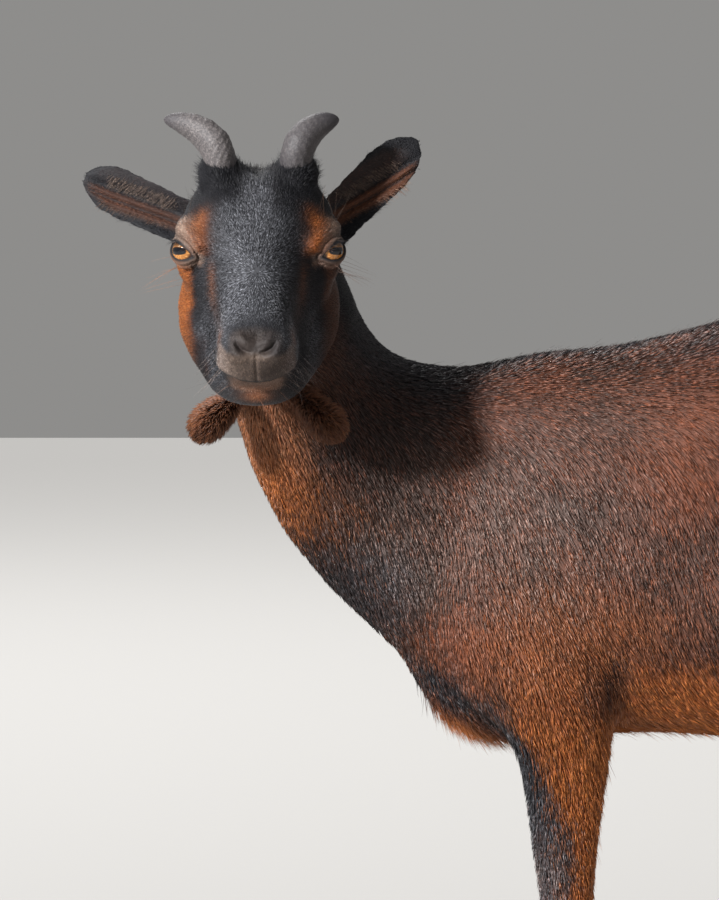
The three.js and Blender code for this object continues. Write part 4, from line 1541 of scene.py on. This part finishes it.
def buildEye(name, side):
    ball = bmesh.new()
    bmesh.ops.create_uvsphere(ball, u_segments=96, v_segments=64, radius=eyeRadius)
    axes = eyeAxes[side]
    rise = np.cross(axes["gaze"], axes["level"])
    turn = Matrix([axes["level"], rise, axes["gaze"]]).transposed().to_4x4()
    bmesh.ops.transform(ball, matrix=Matrix.Translation(Vector(eyeCentre[side])) @ turn, verts=ball.verts)
    bmesh.ops.recalc_face_normals(ball, faces=ball.faces)
    mesh = meshOf(ball, name)
    places = coordsOf(mesh)
    toward = unit(places - eyeCentre[side])
    angle = np.degrees(np.arccos(np.clip(toward @ axes["gaze"], -1, 1)))
    raised = eyePlan["swell"] * mm * np.clip(1 - (angle / eyePlan["swellTo"]) ** 2, 0, 1)
    placeVertices(mesh, places + toward * raised[:, None])
    rise = rise if rise[2] > 0 else -rise
    across, high = toward @ axes["level"], toward @ rise
    flat = np.maximum(np.hypot(across, high), 1e-9)
    arc = np.radians(angle) * eyeRadius / mm
    # where each point lies on the iris, round the gaze, moved to 0.5 so that none is negative
    look = np.stack([across / flat * arc, high / flat * arc, arc, np.zeros_like(arc)], axis=1)
    keepColours(mesh, "look", look / eyePlan["scale"] + 0.5)
    smoothed(mesh)
    piece = linked(mesh, name)
    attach(piece, "root")
    return piece


def paintEye():
    sheet = Sheet("eyeball", Coat_Weight=1.0, Coat_Roughness=0.02, Roughness=0.3, Specular_IOR_Level=0.0)
    x, y, arc = ((part - 0.5) * eyePlan["scale"] for part in sheet.four("look")[:3])
    oval = sheet.math("POWER", (x * (1 / eyePlan["irisHalf"])) ** 2.0 + (y * (1 / eyePlan["irisHigh"])) ** 2.0, 0.5)
    angle = sheet.math("ARCTAN2", y, x)
    where = sheet.add("ShaderNodeCombineXYZ", None, {0: angle * 3.2, 1: arc * 0.16, 2: 0.0})
    streak = sheet.grain(2.6, 4, where=where)
    amber = sheet.add(
        "ShaderNodeValToRGB",
        {"stops": [(0.26, (0.13, 0.045, 0.012)), (0.5, (0.36, 0.14, 0.032)), (0.74, (0.66, 0.34, 0.11))]},
        {"Fac": streak},
    )
    ring = oval.above(0.94, 0.10)
    iris = sheet.mix(ring * 0.9, amber, (0.03, 0.010, 0.005))
    # the lid's shade lies on the upper half
    iris = sheet.mix(y.above(2.2, 2.6) * 0.8, iris, (0.035, 0.016, 0.008))
    # the slot is a level rounded bar
    wide = sheet.math("ABSOLUTE", x - eyePlan["pupilIn"], 0) * (1 / eyePlan["pupilHalf"])
    high = sheet.math("ABSOLUTE", y + eyePlan["pupilLow"], 0) * (1 / eyePlan["pupilHigh"])
    slot = 1 - (wide**3.0 + high**3.0).above(1.0, 0.24)
    iris = sheet.mix(slot, iris, (0.004, 0.004, 0.006))
    white = sheet.mix(sheet.grain(420, 3), (0.060, 0.026, 0.018), (0.020, 0.010, 0.008))
    return sheet.finish(Base_Color=sheet.mix(oval.above(1.04, 0.03), iris, white))


eyePaint = paintEye()
for side, name in ((1, "eyeLeft"), (-1, "eyeRight")):
    eye = buildEye(name, side)
    eye.data.materials.append(eyePaint)
    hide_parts("eye_left" if side > 0 else "eye_right")
print("eyes made")


# horns and hooves: smooth copies of the solids with growth rings
def fineCopy(node, voxel, rounds):
    piece = remeshed(linked(meshOf(mergedCopy(node), node), node + "Fine"), voxel)
    edges = edgesOf(piece.data)
    placeVertices(piece.data, diffused(coordsOf(piece.data), edges, rounds))
    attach(piece, "root")
    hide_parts(node)
    smoothed(piece.data)
    return piece


hornPlan = {
    "voxel": 0.8 * mm,
    "rounds": 14,
    "ring": 3.4,        # mm from one growth ring to the next
    "ringHigh": 0.14,
    "pebbleHigh": 0.05,
    "sink": 5.0,        # mm that the base runs on into the fur
}


def buildHorn(node, side):
    piece = fineCopy(node, hornPlan["voxel"], hornPlan["rounds"])
    places, normals = coordsOf(piece.data), normalsOf(piece.data)
    ahead, left, up = faceCoords(places)
    # how far up the horn: it rises first and then turns outwards
    base = np.array(faceCoords(places[np.argsort(up)[:40]])).mean(axis=1)
    far = np.sqrt((left - base[1]) ** 2 + (up - base[2]) ** 2 + 0.3 * (ahead - base[0]) ** 2)
    along = far / far.max()
    wave = np.sin(far / hornPlan["ring"] * 2 * np.pi + 0.5 * ripple(places, 60, 5))
    rough = hornPlan["ringHigh"] * wave * (1 - 0.7 * along) + hornPlan["pebbleHigh"] * ripple(places, 420, 6)
    rough = rough * (1 - ramp(along, 0.85, 1) * 0.6)
    sink = hornPlan["sink"] * fall(up - up.min(), 3, 13)
    placeVertices(piece.data, places + (normals * rough[:, None] - headUp * sink[:, None]) * mm)
    kept = np.ones((len(places), 4))
    # the third number marks the left horn for its painted shade
    kept[:, 0], kept[:, 1], kept[:, 2] = along, 0.5 + 0.5 * wave, side > 0
    keepColours(piece.data, "strand", kept)
    return piece


def paintHorn():
    sheet = Sheet("hornGrey", Specular_IOR_Level=0.45)
    along, wave, shadedHorn, _ = sheet.four("strand")
    pebble = sheet.grain(760, 3)
    fine = sheet.grain(1900, 2)
    grey = sheet.add(
        "ShaderNodeValToRGB",
        {"stops": [(0.32, (0.034, 0.030, 0.034)), (0.5, (0.088, 0.078, 0.078)), (0.70, (0.24, 0.213, 0.205))]},
        {"Fac": pebble * 0.5 + fine * 0.5},
    )
    grey = sheet.mix(along.above(0.82, 0.14) * 0.72, grey, (0.028, 0.025, 0.030))
    grey = sheet.mix((1 - along.above(0.14, 0.10)) * 0.6, grey, (0.03, 0.027, 0.032))
    grey = sheet.mix((1 - wave.above(0.3, 0.3)) * 0.22, grey, (0.05, 0.045, 0.048))
    # painted shade: the left horn is darker all over
    grey = sheet.mix(shadedHorn * 0.55, grey, (0.022, 0.020, 0.024))
    normal = sheet.bump(pebble + fine * 0.6, 0.5, 0.0008)
    return sheet.finish(Base_Color=grey, Roughness=0.45 + fine * 0.25, Normal=normal)


hornPaint = paintHorn()
for node, side in (("horn_left", 1), ("horn_right", -1)):
    buildHorn(node, side).data.materials.append(hornPaint)


def paintHoof():
    sheet = Sheet("hoofHorn", Specular_IOR_Level=0.45)
    grain = sheet.grain(60, 3, stretch=(1, 1, 9))
    fine = sheet.grain(900, 3)
    dark = sheet.mix(grain * 0.7 + fine * 0.3, (0.018, 0.014, 0.012), (0.085, 0.066, 0.052))
    ring = sheet.grain(46, 2, stretch=(0.3, 0.3, 8))
    rough = 0.42 + fine * 0.2
    return sheet.finish(Base_Color=dark, Roughness=rough, Normal=sheet.bump(ring + fine * 0.2, 0.4, 0.0008))


hoofPaint = paintHoof()
hoofPlan = {
    "voxel": 0.9 * mm,
    "rounds": 3,
    "tuck": 7.0,     # mm that a hoof runs up into the fur
    "press": 7.0,    # mm that a dewclaw is set closer to the pastern
    "taper": 0.4,    # how much narrower its point is
    "drop": 2.5,
    "lean": 2.0,
}
for node in sorted(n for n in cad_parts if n.startswith(("hoof", "dewclaw"))):
    hoof = fineCopy(node, hoofPlan["voxel"], hoofPlan["rounds"])
    places = coordsOf(hoof.data)
    top = (places[:, 2] - places[:, 2].min()) / np.ptp(places[:, 2])
    if node.startswith("hoof"):
        places[:, 2] += hoofPlan["tuck"] * mm * ramp(top, 0.62, 0.95)
    else:
        # a dewclaw is a blunt point that looks down, close behind the pastern
        axis = places.mean(axis=0)
        narrow = 1 - hoofPlan["taper"] * (1 - top)[:, None]
        places[:, :2] = axis[:2] + (places[:, :2] - axis[:2]) * narrow
        places[:, 2] -= hoofPlan["drop"] * mm * (1 - top)
        places[:, 0] -= (hoofPlan["press"] + hoofPlan["lean"] * (1 - top)) * mm
    placeVertices(hoof.data, places)
    hoof.data.materials.append(hoofPaint)
print("horns and hooves made")


# the studio: camera, a soft sun, a fill, a rim, two glints for the eyes, and a pale floor
studioPlan = {
    "aim": (foreX - 0.142, midY, 0.393),
    "tilt": math.radians(4),
    "distance": 3.6,
    "lens": 205.4,
    "floorHalf": 6,
    "floorDrop": 0.5 * mm,
    "floor": (0.50, 0.49, 0.475, 1),
    "air": (1.0, 0.985, 0.96, 1),
    "airLight": 0.27,
}
lampPlan = {
    "key": {"kind": "SUN", "from": (-2.08, -2.2, 1.18), "size": math.radians(5), "power": 7.4, "glossy": True},
    "fill": {"kind": "AREA", "from": (2.4, -2.6, 1.2), "size": 2.4, "power": 6, "glossy": False},
    "rim": {"kind": "AREA", "from": (-0.9, 2.6, 2.4), "size": 1.6, "power": 60, "glossy": True},
    "glintRight": {"kind": "AREA", "from": (-2.75, -0.75, 1.55), "size": 0.65, "power": 14, "glossy": True},
    "glintLeft": {"kind": "AREA", "from": (2.2, -1.1, 1.9), "size": 0.45, "power": 3, "glossy": True},
}


def setLamp(name, plan, aim):
    data = bpy.data.lights.new(name, plan["kind"])
    data.energy = plan["power"]
    if plan["kind"] == "SUN":
        data.angle = plan["size"]
    else:
        data.size = plan["size"]
    light = linked(data, name)
    light.location = aim + Vector(plan["from"])
    light.rotation_euler = (-Vector(plan["from"])).to_track_quat("-Z", "Y").to_euler()
    light.visible_glossy = plan["glossy"]


def studio():
    aim = Vector(studioPlan["aim"])
    tilt = studioPlan["tilt"]
    camera = linked(bpy.data.cameras.new("camera"), "camera")
    camera.data.lens = studioPlan["lens"]
    camera.location = aim + Vector((0, -math.cos(tilt), math.sin(tilt))) * studioPlan["distance"]
    camera.rotation_euler = (math.radians(90) - tilt, 0, 0)
    bpy.context.scene.camera = camera

    ground = bmesh.new()
    bmesh.ops.create_grid(ground, x_segments=2, y_segments=2, size=studioPlan["floorHalf"])
    floor = linked(meshOf(ground, "floor"), "floor")
    floor.location = (0, 0, -studioPlan["floorDrop"])
    paint = Sheet("floorPaint", Base_Color=studioPlan["floor"], Roughness=0.8)
    floor.data.materials.append(paint.material)

    world = bpy.data.worlds.new("studio")
    world.use_nodes = True
    background = world.node_tree.nodes["Background"]
    background.inputs["Color"].default_value = studioPlan["air"]
    background.inputs["Strength"].default_value = studioPlan["airLight"]
    bpy.context.scene.world = world
    for name, plan in lampPlan.items():
        setLamp(name, plan, aim)
    bpy.context.scene.view_settings.view_transform = "Standard"


studio()
print("studio set")
